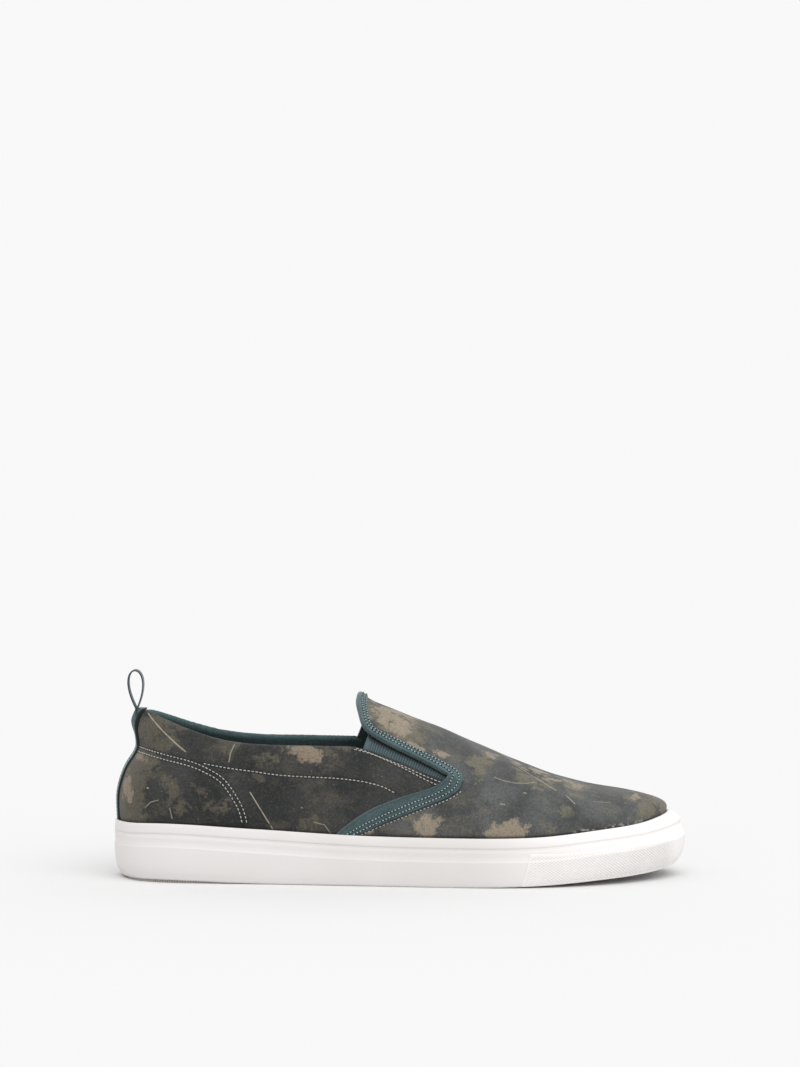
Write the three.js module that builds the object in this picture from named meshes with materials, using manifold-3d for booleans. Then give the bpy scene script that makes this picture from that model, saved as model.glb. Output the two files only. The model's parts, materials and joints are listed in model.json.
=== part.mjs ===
// Slip-on sneaker for the right foot, standing empty on its sole. Millimetres, +Z up.
// The toe points along +X and the outer side of the foot faces -Y.
// The floor is z = 0 and the origin is under the middle of the bounding box.
import * as THREE from "three";
import { mergeVertices } from "three/addons/utils/BufferGeometryUtils.js";
import Module from "manifold-3d";

const wasm = await Module();
wasm.setup();

// Main sizes.
const SOLE_LENGTH = 292;
const BALL_WIDTH = 104;
const SOLE_WALL_HEIGHT = 30;
const UPPER_HEIGHT = 94;

// Sole.
const LIP_THICKNESS = 2;
const LIP_HEIGHT = 5.2;
const STEP_BELOW = 11.7;
const GROOVE_DEPTH = 1;
const STEP_DEPTH = 0.4;
const EDGE_ROUND = 1.1;
const TREAD_DEPTH = 2.4;
const TREAD_INSET = 5;
const TREAD_GROOVE = 3;
const TREAD_PITCH = 13;
const FOOT_BED_HEIGHT = 11;
const BUMPER_THICKNESS = 1.2;
const BUMPER_PROUD = 0.4;

// Upper.
const WALL = 1.8;
const COLLAR_PADDING = 3;
const PAD_SWELL = 0.9;
const COUNTER_STEP = 0.5;
const TAPE_THICKNESS = 0.9;
const GORE_THICKNESS = 1.2;
const GORE_TUCK = 6;
const STAY_THICKNESS = 0.9;
const STAY_WIDTH = 18;
const INSOLE_THICKNESS = 4;

// Pull loop.
const LOOP_THICKNESS = 0.9;
const LOOP_BAND = 9;
const LOOP_HEIGHT = 19.5;
const LOOP_WIDTH = 8.2;
const LOOP_TAB = 8;
const LOOP_STEPS = 16;
const LOOP_SETBACK = 2.4;
const LOOP_TILT = 0.8;
const LOOP_FOOT = 0.17;

// Room between two pieces that meet.
const GAP = 0.3;

// Stations along each half of the outline, and the upper's levels from the lip to the ridge.
const HALF_STATIONS = 35;
const RISE = [0, 0.1, 0.2, 0.29, 0.37, 0.44, 0.51, 0.58, 0.66, 0.76, 0.88, 1];
const STATIONS = 2 * HALF_STATIONS;

// Widest outline of the sole: share of its length, then shares of the ball width to each side.
const OUTLINE = [
  { along: 0, outer: 0, inner: 0 },
  { along: 0.014, outer: 0.145, inner: 0.145 },
  { along: 0.042, outer: 0.25, inner: 0.25 },
  { along: 0.09, outer: 0.315, inner: 0.315 },
  { along: 0.16, outer: 0.345, inner: 0.338 },
  { along: 0.28, outer: 0.37, inner: 0.332 },
  { along: 0.38, outer: 0.404, inner: 0.322 },
  { along: 0.48, outer: 0.44, inner: 0.342 },
  { along: 0.58, outer: 0.478, inner: 0.4 },
  { along: 0.67, outer: 0.5, inner: 0.46 },
  { along: 0.75, outer: 0.486, inner: 0.49 },
  { along: 0.83, outer: 0.428, inner: 0.472 },
  { along: 0.9, outer: 0.334, inner: 0.398 },
  { along: 0.955, outer: 0.215, inner: 0.29 },
  { along: 0.988, outer: 0.09, inner: 0.17 },
  { along: 1, outer: -0.04, inner: 0.04 },
];

// Side wall of the sole along its length: lower edge and lip top as shares of the wall height,
// then how far the lip leans in and how far the lower edge tapers in, in shares of the same height.
const SOLE_SECTIONS = [
  { along: 0, edge: 0.03, top: 0.965, lean: 0.015, taper: 0.1 },
  { along: 0.1, edge: 0.045, top: 1, lean: 0.02, taper: 0.08 },
  { along: 0.25, edge: 0.005, top: 0.925, lean: 0.03, taper: 0.05 },
  { along: 0.43, edge: 0, top: 0.84, lean: 0.035, taper: 0.03 },
  { along: 0.62, edge: 0, top: 0.82, lean: 0.04, taper: 0.03 },
  { along: 0.74, edge: 0.03, top: 0.84, lean: 0.05, taper: 0.04 },
  { along: 0.84, edge: 0.085, top: 0.92, lean: 0.075, taper: 0.06 },
  { along: 0.92, edge: 0.13, top: 0.98, lean: 0.13, taper: 0.08 },
  { along: 0.97, edge: 0.18, top: 1.05, lean: 0.2, taper: 0.1 },
  { along: 1, edge: 0.24, top: 1.1, lean: 0.24, taper: 0.11 },
];

// Side wall below its step: share of the height, shares of taper.
const WALL_PROFILE = [
  { up: 0.05, taper: 1 },
  { up: 0.16, taper: 0.45 },
  { up: 0.34, taper: 0.1 },
];

// Ridge of the last: share of the length, height as a share of the upper height, shift to the inner side
// as a share of the ball width, then how upright the wall stands and how broad the top is.
const LAST_SECTIONS = [
  { along: 0.13, ridge: 1.17, aside: 0, upright: 0.66, broad: 0.8, swell: 0.02 },
  { along: 0.24, ridge: 1.15, aside: 0, upright: 0.66, broad: 0.82, swell: 0.012 },
  { along: 0.34, ridge: 1.1, aside: 0.01, upright: 0.62, broad: 0.76, swell: 0.008 },
  { along: 0.43, ridge: 0.976, aside: 0.02, upright: 0.58, broad: 0.66, swell: 0.006 },
  { along: 0.5, ridge: 0.887, aside: 0.025, upright: 0.54, broad: 0.56, swell: 0.008 },
  { along: 0.58, ridge: 0.788, aside: 0.03, upright: 0.5, broad: 0.5, swell: 0.01 },
  { along: 0.66, ridge: 0.68, aside: 0.035, upright: 0.46, broad: 0.48, swell: 0.012 },
  { along: 0.74, ridge: 0.574, aside: 0.035, upright: 0.46, broad: 0.5, swell: 0.014 },
  { along: 0.8, ridge: 0.514, aside: 0.038, upright: 0.5, broad: 0.56, swell: 0.014 },
  { along: 0.86, ridge: 0.477, aside: 0.04, upright: 0.56, broad: 0.66, swell: 0.01 },
];

// Back of the heel: height as a share of the upper height, then how far the upper leans forward and
// how far the collar closes in sideways, as shares of the upper height and of the half width.
const HEEL_CURVE = [
  { along: 0.33, lean: 0, close: 0 },
  { along: 0.46, lean: 0.01, close: 0.02 },
  { along: 0.6, lean: 0.05, close: 0.08 },
  { along: 0.7, lean: 0.08, close: 0.18 },
  { along: 0.8, lean: 0.088, close: 0.3 },
  { along: 0.92, lean: 0.1, close: 0.4 },
];

// Opening seen from the side, in shares of sole length and upper height: the collar edge from the heel
// forward, the lower edge of the side notch, and then back up the edge of the tongue.
const COLLAR_EDGE = [
  { along: -0.02, up: 0.905 },
  { along: 0.03, up: 0.908 },
  { along: 0.056, up: 0.905 },
  { along: 0.085, up: 0.868 },
  { along: 0.13, up: 0.812 },
  { along: 0.175, up: 0.767 },
  { along: 0.22, up: 0.742 },
  { along: 0.27, up: 0.734 },
  { along: 0.34, up: 0.732 },
  { along: 0.42, up: 0.728 },
];
const NOTCH_EDGE = [
  { along: 0.433, up: 0.73 },
  { along: 0.475, up: 0.688 },
  { along: 0.53, up: 0.616 },
  { along: 0.588, up: 0.558 },
];
const TONGUE_EDGE = [
  { along: 0.592, up: 0.585 },
  { along: 0.558, up: 0.622 },
  { along: 0.526, up: 0.664 },
  { along: 0.49, up: 0.722 },
  { along: 0.462, up: 0.768 },
  { along: 0.444, up: 0.812 },
  { along: 0.434, up: 0.868 },
  { along: 0.43, up: 0.92 },
  { along: 0.43, up: 0.952 },
  { along: 0.434, up: 0.975 },
  { along: 0.442, up: 1.0 },
  { along: 0.45, up: 1.06 },
];

// Front edge of the tape: along the tongue, round the notch corner and back down to the sole.
const TAPE_FRONT = [
  { along: 0.462, up: 1.06 },
  { along: 0.4545, up: 0.95 },
  { along: 0.457, up: 0.872 },
  { along: 0.466, up: 0.826 },
  { along: 0.49, up: 0.788 },
  { along: 0.526, up: 0.737 },
  { along: 0.562, up: 0.678 },
  { along: 0.594, up: 0.616 },
  { along: 0.612, up: 0.57 },
  { along: 0.604, up: 0.53 },
  { along: 0.58, up: 0.49 },
  { along: 0.532, up: 0.443 },
  { along: 0.486, up: 0.388 },
  { along: 0.444, up: 0.31 },
  { along: 0.412, up: 0.24 },
];
// Rear edge of the tape below the notch, from the sole up to the corner.
const TAPE_REAR = [
  { along: 0.376, up: 0.27 },
  { along: 0.4, up: 0.33 },
  { along: 0.434, up: 0.4 },
  { along: 0.48, up: 0.458 },
  { along: 0.535, up: 0.5 },
  { along: 0.572, up: 0.53 },
  { along: 0.588, up: 0.558 },
];

// Front edge of the heel counter, from the pad line down to the sole.
const COUNTER_EDGE = [
  { along: 0.03, up: 0.685 },
  { along: 0.095, up: 0.672 },
  { along: 0.14, up: 0.635 },
  { along: 0.174, up: 0.595 },
  { along: 0.206, up: 0.54 },
  { along: 0.223, up: 0.44 },
  { along: 0.236, up: 0.34 },
  { along: 0.24, up: 0.25 },
];

// Seam under the collar padding, in the same shares.
const PAD_SEAM = [
  { along: 0, up: 0.71 },
  { along: 0.06, up: 0.7 },
  { along: 0.12, up: 0.678 },
  { along: 0.18, up: 0.634 },
  { along: 0.24, up: 0.598 },
  { along: 0.3, up: 0.58 },
  { along: 0.4, up: 0.565 },
  { along: 0.46, up: 0.535 },
  { along: 0.5, up: 0.48 },
];

// Toe bumper seen from the side: shares of sole length and sole wall height.
const BUMPER_SIDE = [
  { along: 0.704, up: -0.2 },
  { along: 0.715, up: 0.57 },
  { along: 0.78, up: 0.565 },
  { along: 0.86, up: 0.6 },
  { along: 0.93, up: 0.66 },
  { along: 1.05, up: 0.78 },
  { along: 1.05, up: -0.2 },
];

// Lugs: where the heel and forefoot pads of the tread lie, as shares of the sole length.
const TREAD_PADS = [
  { from: 0.02, to: 0.34 },
  { from: 0.45, to: 0.97 },
];

// Smooth curve through a table, read at one of its columns.
function curveOf(rows, key) {
  const slopes = rows.map((row, i) => {
    const before = rows[Math.max(i - 1, 0)];
    const after = rows[Math.min(i + 1, rows.length - 1)];
    return (after[key] - before[key]) / (after.along - before.along);
  });
  return (along) => {
    const first = rows[0].along;
    const last = rows[rows.length - 1].along;
    const s = THREE.MathUtils.clamp(along, first, last);
    let i = 0;
    while (i < rows.length - 2 && s > rows[i + 1].along) i += 1;
    const width = rows[i + 1].along - rows[i].along;
    const t = (s - rows[i].along) / width;
    const rise = rows[i + 1][key] - rows[i][key];
    const bend = (1 - t) * (slopes[i] * width - rise) + t * (rise - slopes[i + 1] * width);
    return rows[i][key] + t * rise + t * (1 - t) * bend;
  };
}

const smooth = (low, high, value) => THREE.MathUtils.smoothstep(value, low, high);

const edgeAt = curveOf(SOLE_SECTIONS, "edge");
const topAt = curveOf(SOLE_SECTIONS, "top");
const leanAt = curveOf(SOLE_SECTIONS, "lean");
const taperAt = curveOf(SOLE_SECTIONS, "taper");
const ridgeAt = curveOf(LAST_SECTIONS, "ridge");
const asideAt = curveOf(LAST_SECTIONS, "aside");
const uprightAt = curveOf(LAST_SECTIONS, "upright");
const broadAt = curveOf(LAST_SECTIONS, "broad");
const swellAt = curveOf(LAST_SECTIONS, "swell");
const collarAt = curveOf(COLLAR_EDGE, "up");
const padSeamAt = curveOf(PAD_SEAM, "up");
const leanOfHeel = curveOf(HEEL_CURVE, "lean");
const closeOfHeel = curveOf(HEEL_CURVE, "close");

// Stations round the outline: heel, outer side, toe and back along the inner side.
// Station i of the outer side and station STATIONS - i of the inner side face each other.
function outlineStations() {
  const outer = OUTLINE.map((r) => [r.along * SOLE_LENGTH, -r.outer * BALL_WIDTH]);
  const inner = OUTLINE.map((r) => [r.along * SOLE_LENGTH, r.inner * BALL_WIDTH]);
  const ring = [...outer, ...inner.slice(1, -1).reverse()];
  const points = ring.map(([x, y]) => new THREE.Vector3(x, y, 0));
  const curve = new THREE.CatmullRomCurve3(points, true, "centripetal");
  const toeShare = (outer.length - 1) / ring.length;
  const half = (from, to) => {
    const fine = [];
    for (let i = 0; i <= 400; i += 1) fine.push(curve.getPoint(from + ((to - from) * i) / 400));
    const length = [0];
    for (let i = 1; i < fine.length; i += 1) length.push(length[i - 1] + fine[i].distanceTo(fine[i - 1]));
    return (share) => {
      const wanted = share * length[length.length - 1];
      let i = 1;
      while (i < fine.length - 1 && length[i] < wanted) i += 1;
      const t = (wanted - length[i - 1]) / (length[i] - length[i - 1]);
      return fine[i - 1].clone().lerp(fine[i], t);
    };
  };
  const outerHalf = half(0, toeShare);
  const innerHalf = half(1, toeShare);
  const stations = [];
  for (let i = 0; i < STATIONS; i += 1) {
    const k = i <= HALF_STATIONS ? i : STATIONS - i;
    const u = k / HALF_STATIONS;
    const share = u - 0.075 * Math.sin(2 * Math.PI * u);
    const point = i <= HALF_STATIONS ? outerHalf(share) : innerHalf(share);
    stations.push({ x: point.x, y: point.y, index: i });
  }
  stations.forEach((s, i) => {
    const before = stations[(i + STATIONS - 1) % STATIONS];
    const after = stations[(i + 1) % STATIONS];
    const run = Math.hypot(after.x - before.x, after.y - before.y);
    s.nx = (after.y - before.y) / run;
    s.ny = -(after.x - before.x) / run;
    s.along = s.x / SOLE_LENGTH;
  });
  return stations;
}

const stations = outlineStations();
const partner = (i) => (STATIONS - i) % STATIONS;

// Heights and insets of the sole wall at a station.
function wallOf(s) {
  const edge = edgeAt(s.along) * SOLE_WALL_HEIGHT;
  const top = topAt(s.along) * SOLE_WALL_HEIGHT;
  return {
    edge,
    top,
    height: top - edge,
    lean: leanAt(s.along) * SOLE_WALL_HEIGHT,
    taper: taperAt(s.along) * SOLE_WALL_HEIGHT,
  };
}

const shifted = (s, out, z) => [s.x + s.nx * out, s.y + s.ny * out, z];
const cupInset = (s) => wallOf(s).lean + LIP_THICKNESS;
const bedHeight = (s) => FOOT_BED_HEIGHT + edgeAt(s.along) * SOLE_WALL_HEIGHT;

// Manifold solid from rings of points that run upward outside, each ring counterclockwise from above.
// A last ring whose facing points coincide closes along that line by itself.
function solidFromRings(rings, closedAbove) {
  const positions = rings.flat(2);
  const index = [];
  const at = (ring, i) => ring * STATIONS + (i % STATIONS);
  for (let r = 0; r < rings.length - 1; r += 1) {
    for (let i = 0; i < STATIONS; i += 1) {
      index.push(at(r, i), at(r, i + 1), at(r + 1, i + 1));
      index.push(at(r, i), at(r + 1, i + 1), at(r + 1, i));
    }
  }
  const ladder = (ring, up) => {
    for (let i = 0; i < HALF_STATIONS; i += 1) {
      const a = at(ring, i);
      const b = at(ring, i + 1);
      const c = at(ring, partner(i + 1));
      const d = at(ring, partner(i));
      const faces = [];
      if (b !== c) faces.push([a, b, c]);
      if (a !== d) faces.push([a, c, d]);
      faces.forEach((f) => index.push(...(up ? f : f.reverse())));
    }
  };
  ladder(0, false);
  if (!closedAbove) ladder(rings.length - 1, true);
  const geometry = new THREE.BufferGeometry();
  geometry.setAttribute("position", new THREE.Float32BufferAttribute(positions, 3));
  geometry.setIndex(index);
  return solidFromGeometry(geometry);
}

function solidFromGeometry(source) {
  const bare = source.clone();
  bare.deleteAttribute("normal");
  bare.deleteAttribute("uv");
  const merged = mergeVertices(bare, 1e-4);
  const triVerts = [];
  const index = merged.index.array;
  for (let i = 0; i < index.length; i += 3) {
    const [a, b, c] = [index[i], index[i + 1], index[i + 2]];
    if (a !== b && b !== c && c !== a) triVerts.push(a, b, c);
  }
  const vertProperties = new Float32Array(merged.attributes.position.array);
  return new wasm.Manifold(
    new wasm.Mesh({ numProp: 3, vertProperties, triVerts: new Uint32Array(triVerts) }),
  );
}

// Prism across the shoe whose side view is the given outline of [x, z] points.
function sidePrism(points, from = -BALL_WIDTH, to = BALL_WIDTH) {
  const shape = new THREE.Shape(points.map(([x, z]) => new THREE.Vector2(x, z)));
  const geometry = new THREE.ExtrudeGeometry(shape, { depth: to - from, bevelEnabled: false });
  geometry.rotateX(Math.PI / 2);
  geometry.translate(0, to, 0);
  return solidFromGeometry(geometry);
}

const boxPrism = (x0, x1, z0, z1, y0, y1) =>
  sidePrism([[x0, z0], [x1, z0], [x1, z1], [x0, z1]], y0, y1);

// Smooth line through a table of the side view, in millimetres.
function sideLine(rows, count, height = UPPER_HEIGHT) {
  const points = rows.map((r) => new THREE.Vector2(r.along * SOLE_LENGTH, r.up * height));
  return new THREE.SplineCurve(points).getPoints(count).map((p) => [p.x, p.y]);
}

// A line moved sideways in the side view, to the left of its run when the distance is positive.
function movedLine(line, distance) {
  return line.map(([x, z], i) => {
    const [x0, z0] = line[Math.max(i - 1, 0)];
    const [x1, z1] = line[Math.min(i + 1, line.length - 1)];
    const run = Math.hypot(x1 - x0, z1 - z0);
    return [x - ((z1 - z0) / run) * distance, z + ((x1 - x0) / run) * distance];
  });
}

// ---- Sole ----

// Ring points of the outer wall of the sole from the lower edge to the lip top.
function wallPoints(s, extra) {
  const w = wallOf(s);
  const points = [shifted(s, -w.taper - EDGE_ROUND + extra, w.edge)];
  WALL_PROFILE.forEach((row) => {
    points.push(shifted(s, extra - w.taper * row.taper, w.edge + row.up * w.height));
  });
  const lipFoot = w.top - LIP_HEIGHT;
  const lipOut = -w.lean * 0.2;
  const step = w.top - STEP_BELOW;
  points.push(shifted(s, extra, step));
  points.push(shifted(s, extra - STEP_DEPTH, step + STEP_DEPTH));
  points.push(shifted(s, lipOut - GROOVE_DEPTH + extra, lipFoot - 1));
  points.push(shifted(s, lipOut - GROOVE_DEPTH + extra, lipFoot));
  points.push(shifted(s, lipOut + extra, lipFoot + 0.8));
  points.push(shifted(s, -w.lean * 0.58 + extra, w.top - LIP_HEIGHT * 0.4));
  points.push(shifted(s, -w.lean + extra, w.top));
  return points;
}

const ringsFrom = (pointsOf) => {
  const columns = stations.map(pointsOf);
  return columns[0].map((_, level) => columns.map((column) => column[level]));
};

function wallForm(extra) {
  return solidFromRings(ringsFrom((s) => wallPoints(s, extra)), false);
}

function treadForm() {
  const lugs = solidFromRings(
    ringsFrom((s) => {
      const w = wallOf(s);
      const spring = s.along > 0.6 ? w.edge : 0;
      const out = -w.taper - TREAD_INSET;
      return [shifted(s, out, spring), shifted(s, out, w.edge + TREAD_DEPTH + GAP)];
    }),
    false,
  );
  let cuts = [];
  for (const pad of TREAD_PADS) {
    const from = pad.from * SOLE_LENGTH;
    const to = pad.to * SOLE_LENGTH;
    const count = Math.floor((to - from) / TREAD_PITCH);
    for (let k = 1; k < count; k += 1) {
      const x = from + (k * (to - from)) / count;
      cuts.push([x - TREAD_GROOVE / 2, x + TREAD_GROOVE / 2]);
    }
  }
  cuts.push([TREAD_PADS[0].to * SOLE_LENGTH, TREAD_PADS[1].from * SOLE_LENGTH]);
  return cuts.reduce(
    (form, [x0, x1]) => form.subtract(boxPrism(x0, x1, -1, SOLE_WALL_HEIGHT, -BALL_WIDTH, BALL_WIDTH)),
    lugs,
  );
}

function bumperOutline() {
  return BUMPER_SIDE.map((r) => [r.along * SOLE_LENGTH, r.up * SOLE_WALL_HEIGHT]);
}

// Bumper strip between a form of the wall and the wall moved inward.
function bumperSolid() {
  return wallForm(BUMPER_PROUD)
    .subtract(tallWallForm(BUMPER_PROUD - BUMPER_THICKNESS))
    .intersect(sidePrism(bumperOutline()));
}

// Seat that the sole's wall leaves for the bumper.
function bumperSeat() {
  const line = bumperOutline();
  const grown = line.map(([x, z], i) => [i < 2 ? x - GAP : x, i > 0 && i < line.length - 1 ? z + GAP : z]);
  return tallWallForm(EDGE_ROUND)
    .subtract(tallWallForm(BUMPER_PROUD - BUMPER_THICKNESS - GAP))
    .intersect(sidePrism(grown));
}

// The wall form with its ends carried past the edge and the lip, so that it cuts cleanly.
function tallWallForm(extra) {
  return solidFromRings(
    ringsFrom((s) => {
      const points = wallPoints(s, extra);
      const foot = [points[0][0], points[0][1], -SOLE_WALL_HEIGHT];
      const head = points[points.length - 1];
      return [foot, ...points, [head[0], head[1], head[2] + SOLE_WALL_HEIGHT]];
    }),
    false,
  );
}

function soleSolid() {
  const shell = solidFromRings(
    ringsFrom((s) => {
      const w = wallOf(s);
      const inset = -cupInset(s);
      return [
        ...wallPoints(s, 0),
        shifted(s, inset, w.top - GAP),
        shifted(s, inset, bedHeight(s)),
      ];
    }),
    false,
  );
  const recess = solidFromRings(
    ringsFrom((s) => {
      const w = wallOf(s);
      const out = -w.taper - TREAD_INSET + 1;
      return [shifted(s, out, w.edge - SOLE_WALL_HEIGHT), shifted(s, out - 1, w.edge + TREAD_DEPTH)];
    }),
    false,
  );
  return shell.subtract(recess).add(treadForm()).subtract(bumperSeat());
}

// ---- Upper ----

// A point of the last, moved by the heel's lean and by the closing of the collar round the ankle.
function heelShaped(point) {
  const up = point.z / UPPER_HEIGHT;
  const back = 1 - smooth(0, 0.3, point.x / SOLE_LENGTH);
  const round = 1 - smooth(0.06, 0.36, point.x / SOLE_LENGTH);
  point.x += leanOfHeel(up) * UPPER_HEIGHT * back;
  point.y *= 1 - closeOfHeel(up) * round;
  return point;
}

// Grid of the last's surface: for each level a ring of stations, in the cup and then up to the ridge.
function lastGrid() {
  const first = LAST_SECTIONS[0].along;
  const last = LAST_SECTIONS[LAST_SECTIONS.length - 1].along;
  const ridgePoint = (share) => {
    const along = first + (last - first) * share;
    return new THREE.Vector3(along * SOLE_LENGTH, asideAt(along) * BALL_WIDTH, ridgeAt(along) * UPPER_HEIGHT);
  };
  const columns = stations.map((s, i) => {
    const other = stations[partner(i)];
    const share = THREE.MathUtils.clamp((s.x + other.x) / 2 / SOLE_LENGTH, 0, 1);
    const w = wallOf(s);
    const inset = -(cupInset(s) + GAP);
    const foot = new THREE.Vector3(...shifted(s, inset, bedHeight(s) + GAP));
    const rim = new THREE.Vector3(...shifted(s, inset, w.top));
    const top = ridgePoint(share);
    const ahead = ridgePoint(Math.min(share + 0.01, 1));
    const behind = ridgePoint(Math.max(share - 0.01, 0));
    const slope = (ahead.z - behind.z) / (ahead.x - behind.x);
    const along = first + (last - first) * share;
    const out = new THREE.Vector3(rim.x - top.x, rim.y - top.y, 0);
    const low = rim.clone();
    low.z += uprightAt(along) * (top.z - rim.z);
    const swell = swellAt(along) * SOLE_LENGTH;
    low.x += s.nx * swell;
    low.y += s.ny * swell;
    const high = top.clone().addScaledVector(out, broadAt(along));
    high.z += slope * out.x * broadAt(along);
    const bend = new THREE.CubicBezierCurve3(rim, low, high, top);
    const column = [foot, foot.clone().lerp(rim, 0.5)];
    RISE.forEach((share) => column.push(heelShaped(bend.getPoint(share))));
    return column;
  });
  return columns;
}

const lastColumns = lastGrid();
const LEVELS = lastColumns[0].length;

// Outward normals of the grid; on the ridge they lie in its own upright plane.
function lastNormals() {
  return lastColumns.map((column, i) => {
    const before = lastColumns[(i + STATIONS - 1) % STATIONS];
    const after = lastColumns[(i + 1) % STATIONS];
    return column.map((point, level) => {
      const up = column[Math.min(level + 1, LEVELS - 1)].clone().sub(column[Math.max(level - 1, 0)]);
      const round = after[level].clone().sub(before[level]);
      if (level === LEVELS - 1) {
        const ends = i === 0 || i === HALF_STATIONS;
        const run = ends ? up.multiplyScalar(i === 0 ? 1 : -1) : round;
        run.x = Math.abs(run.x);
        run.z = ends && i === HALF_STATIONS ? run.z : run.z * (i > HALF_STATIONS ? -1 : 1);
        return new THREE.Vector3(-run.z, 0, run.x).normalize();
      }
      return round.cross(up).normalize();
    });
  });
}

const lastNormal = lastNormals();

// How deep in the padded collar a point of the surface is, from 0 at the seam to 1 at the edge.
function padShare(point) {
  const along = point.x / SOLE_LENGTH;
  const seam = padSeamAt(along) * UPPER_HEIGHT;
  const edge = collarAt(along) * UPPER_HEIGHT;
  const share = THREE.MathUtils.clamp((point.z - seam) / (edge - seam), 0, 1.15);
  return share * (1 - smooth(0.4, 0.46, along));
}

// Pinch above the heel counter, strongest at the back seam.
function heelPinch(point) {
  const height = (point.z / UPPER_HEIGHT - 0.71) / 0.09;
  const back = 1 - smooth(0.02, 0.2, point.x / SOLE_LENGTH);
  return 2.6 * back * Math.exp(-height * height);
}

// Closed form at a distance from the last's surface, carried down by a given depth below its foot.
function lastForm(offsetOf, below) {
  const rings = ringsFrom((s) => {
    const column = lastColumns[s.index];
    const points = column.map((point, level) => {
      const pad = padShare(point);
      const swell = PAD_SWELL * Math.sin(Math.PI * Math.min(pad, 1));
      const out = swell - heelPinch(point) + offsetOf(point, pad);
      return point.clone().addScaledVector(lastNormal[s.index][level], out).toArray();
    });
    const foot = points[0];
    points[0] = [foot[0], foot[1], column[0].z - below];
    return points;
  });
  return solidFromRings(rings, true);
}

const lining = (point, pad) => -(WALL + COLLAR_PADDING * Math.sin((Math.PI / 2) * Math.min(pad, 1)));
const FAR_BELOW = 30;

// Layer between two distances from the outside of the upper.
function layer(inner, outer) {
  return lastForm(() => outer, 0).subtract(lastForm(() => inner, FAR_BELOW));
}

const collarLine = sideLine(COLLAR_EDGE, 30);
const notchLine = sideLine(NOTCH_EDGE, 10);
const tongueLine = sideLine(TONGUE_EDGE, 22);
const SKY = 1.6 * UPPER_HEIGHT;

function openingOutline(shrink) {
  const collar = movedLine(collarLine, shrink);
  const notch = movedLine(notchLine, shrink);
  const tongue = movedLine(tongueLine, shrink);
  return [...collar, ...notch, ...tongue, [tongue[tongue.length - 1][0], SKY], [collar[0][0], SKY]];
}

function upperSolid() {
  const hollow = lastForm(() => 0, 0).subtract(lastForm(lining, FAR_BELOW));
  const counterLine = sideLine(COUNTER_EDGE, 20);
  const counterSide = [...counterLine, [-SOLE_LENGTH, counterLine[20][1]], [-SOLE_LENGTH, counterLine[0][1]]];
  const rim = topAt(0) * SOLE_WALL_HEIGHT;
  const counter = layer(-WALL / 2, COUNTER_STEP)
    .intersect(sidePrism(counterSide.reverse()))
    .subtract(boxPrism(-50, SOLE_LENGTH, -FAR_BELOW, rim + 1.5, -BALL_WIDTH, BALL_WIDTH));
  return hollow.add(counter).subtract(sidePrism(openingOutline(0)));
}

// Tape that folds over the tongue's edge, turns at the notch corner and runs down to the sole.
function tapeSolid() {
  const front = sideLine(TAPE_FRONT, 36);
  const rear = sideLine(TAPE_REAR, 14);
  const edge = movedLine(tongueLine, TAPE_THICKNESS + GAP);
  const outline = [...rear, ...edge, ...front];
  const face = layer(GAP, GAP + TAPE_THICKNESS).intersect(sidePrism(outline));
  const clear = tapeClearance();
  return face.subtract(clear);
}

// The tape ends just above the lip of the sole.
function tapeClearance() {
  return solidFromRings(
    ringsFrom((s) => {
      const w = wallOf(s);
      return [shifted(s, 20, -SOLE_WALL_HEIGHT), shifted(s, 20, w.top + GAP)];
    }),
    false,
  );
}

// Elastic wedge behind the notch, tucked under the tongue's edge and the quarter.
function goreSolid(side) {
  const band = lastForm((p, pad) => lining(p, pad) - GAP, 0).subtract(
    lastForm((p, pad) => lining(p, pad) - GAP - GORE_THICKNESS, FAR_BELOW),
  );
  const low = movedLine(notchLine, -GORE_TUCK);
  const high = movedLine(tongueLine.slice(0, 12), -GORE_TUCK);
  const outline = [...low, ...high, [notchLine[0][0], high[high.length - 1][1] - 1]];
  const half = side < 0 ? [-BALL_WIDTH, -2] : [2, BALL_WIDTH];
  return band.intersect(sidePrism(outline, ...half));
}

// Strip over the heel seam; it stands out at the top, over the sewn end of the pull loop.
const TAB_ROOM = 2 * LOOP_THICKNESS + GAP;
const stayTop = collarAt(0.03) * UPPER_HEIGHT;
const tabLift = (z) => TAB_ROOM * smooth(stayTop - LOOP_TAB - 18, stayTop - LOOP_TAB - 6, z);
const stayBase = (p) => GAP + (p.z < 0.7 * UPPER_HEIGHT ? COUNTER_STEP : COUNTER_STEP * 0.6);

function backStaySolid() {
  const strip = lastForm((p) => stayBase(p) + tabLift(p.z) + STAY_THICKNESS, 0).subtract(
    lastForm((p) => stayBase(p) + tabLift(p.z), FAR_BELOW),
  );
  const bottom = topAt(0) * SOLE_WALL_HEIGHT + 1.5 + GAP;
  return strip.intersect(boxPrism(-20, 40, bottom, stayTop, -STAY_WIDTH / 2, STAY_WIDTH / 2));
}

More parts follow.
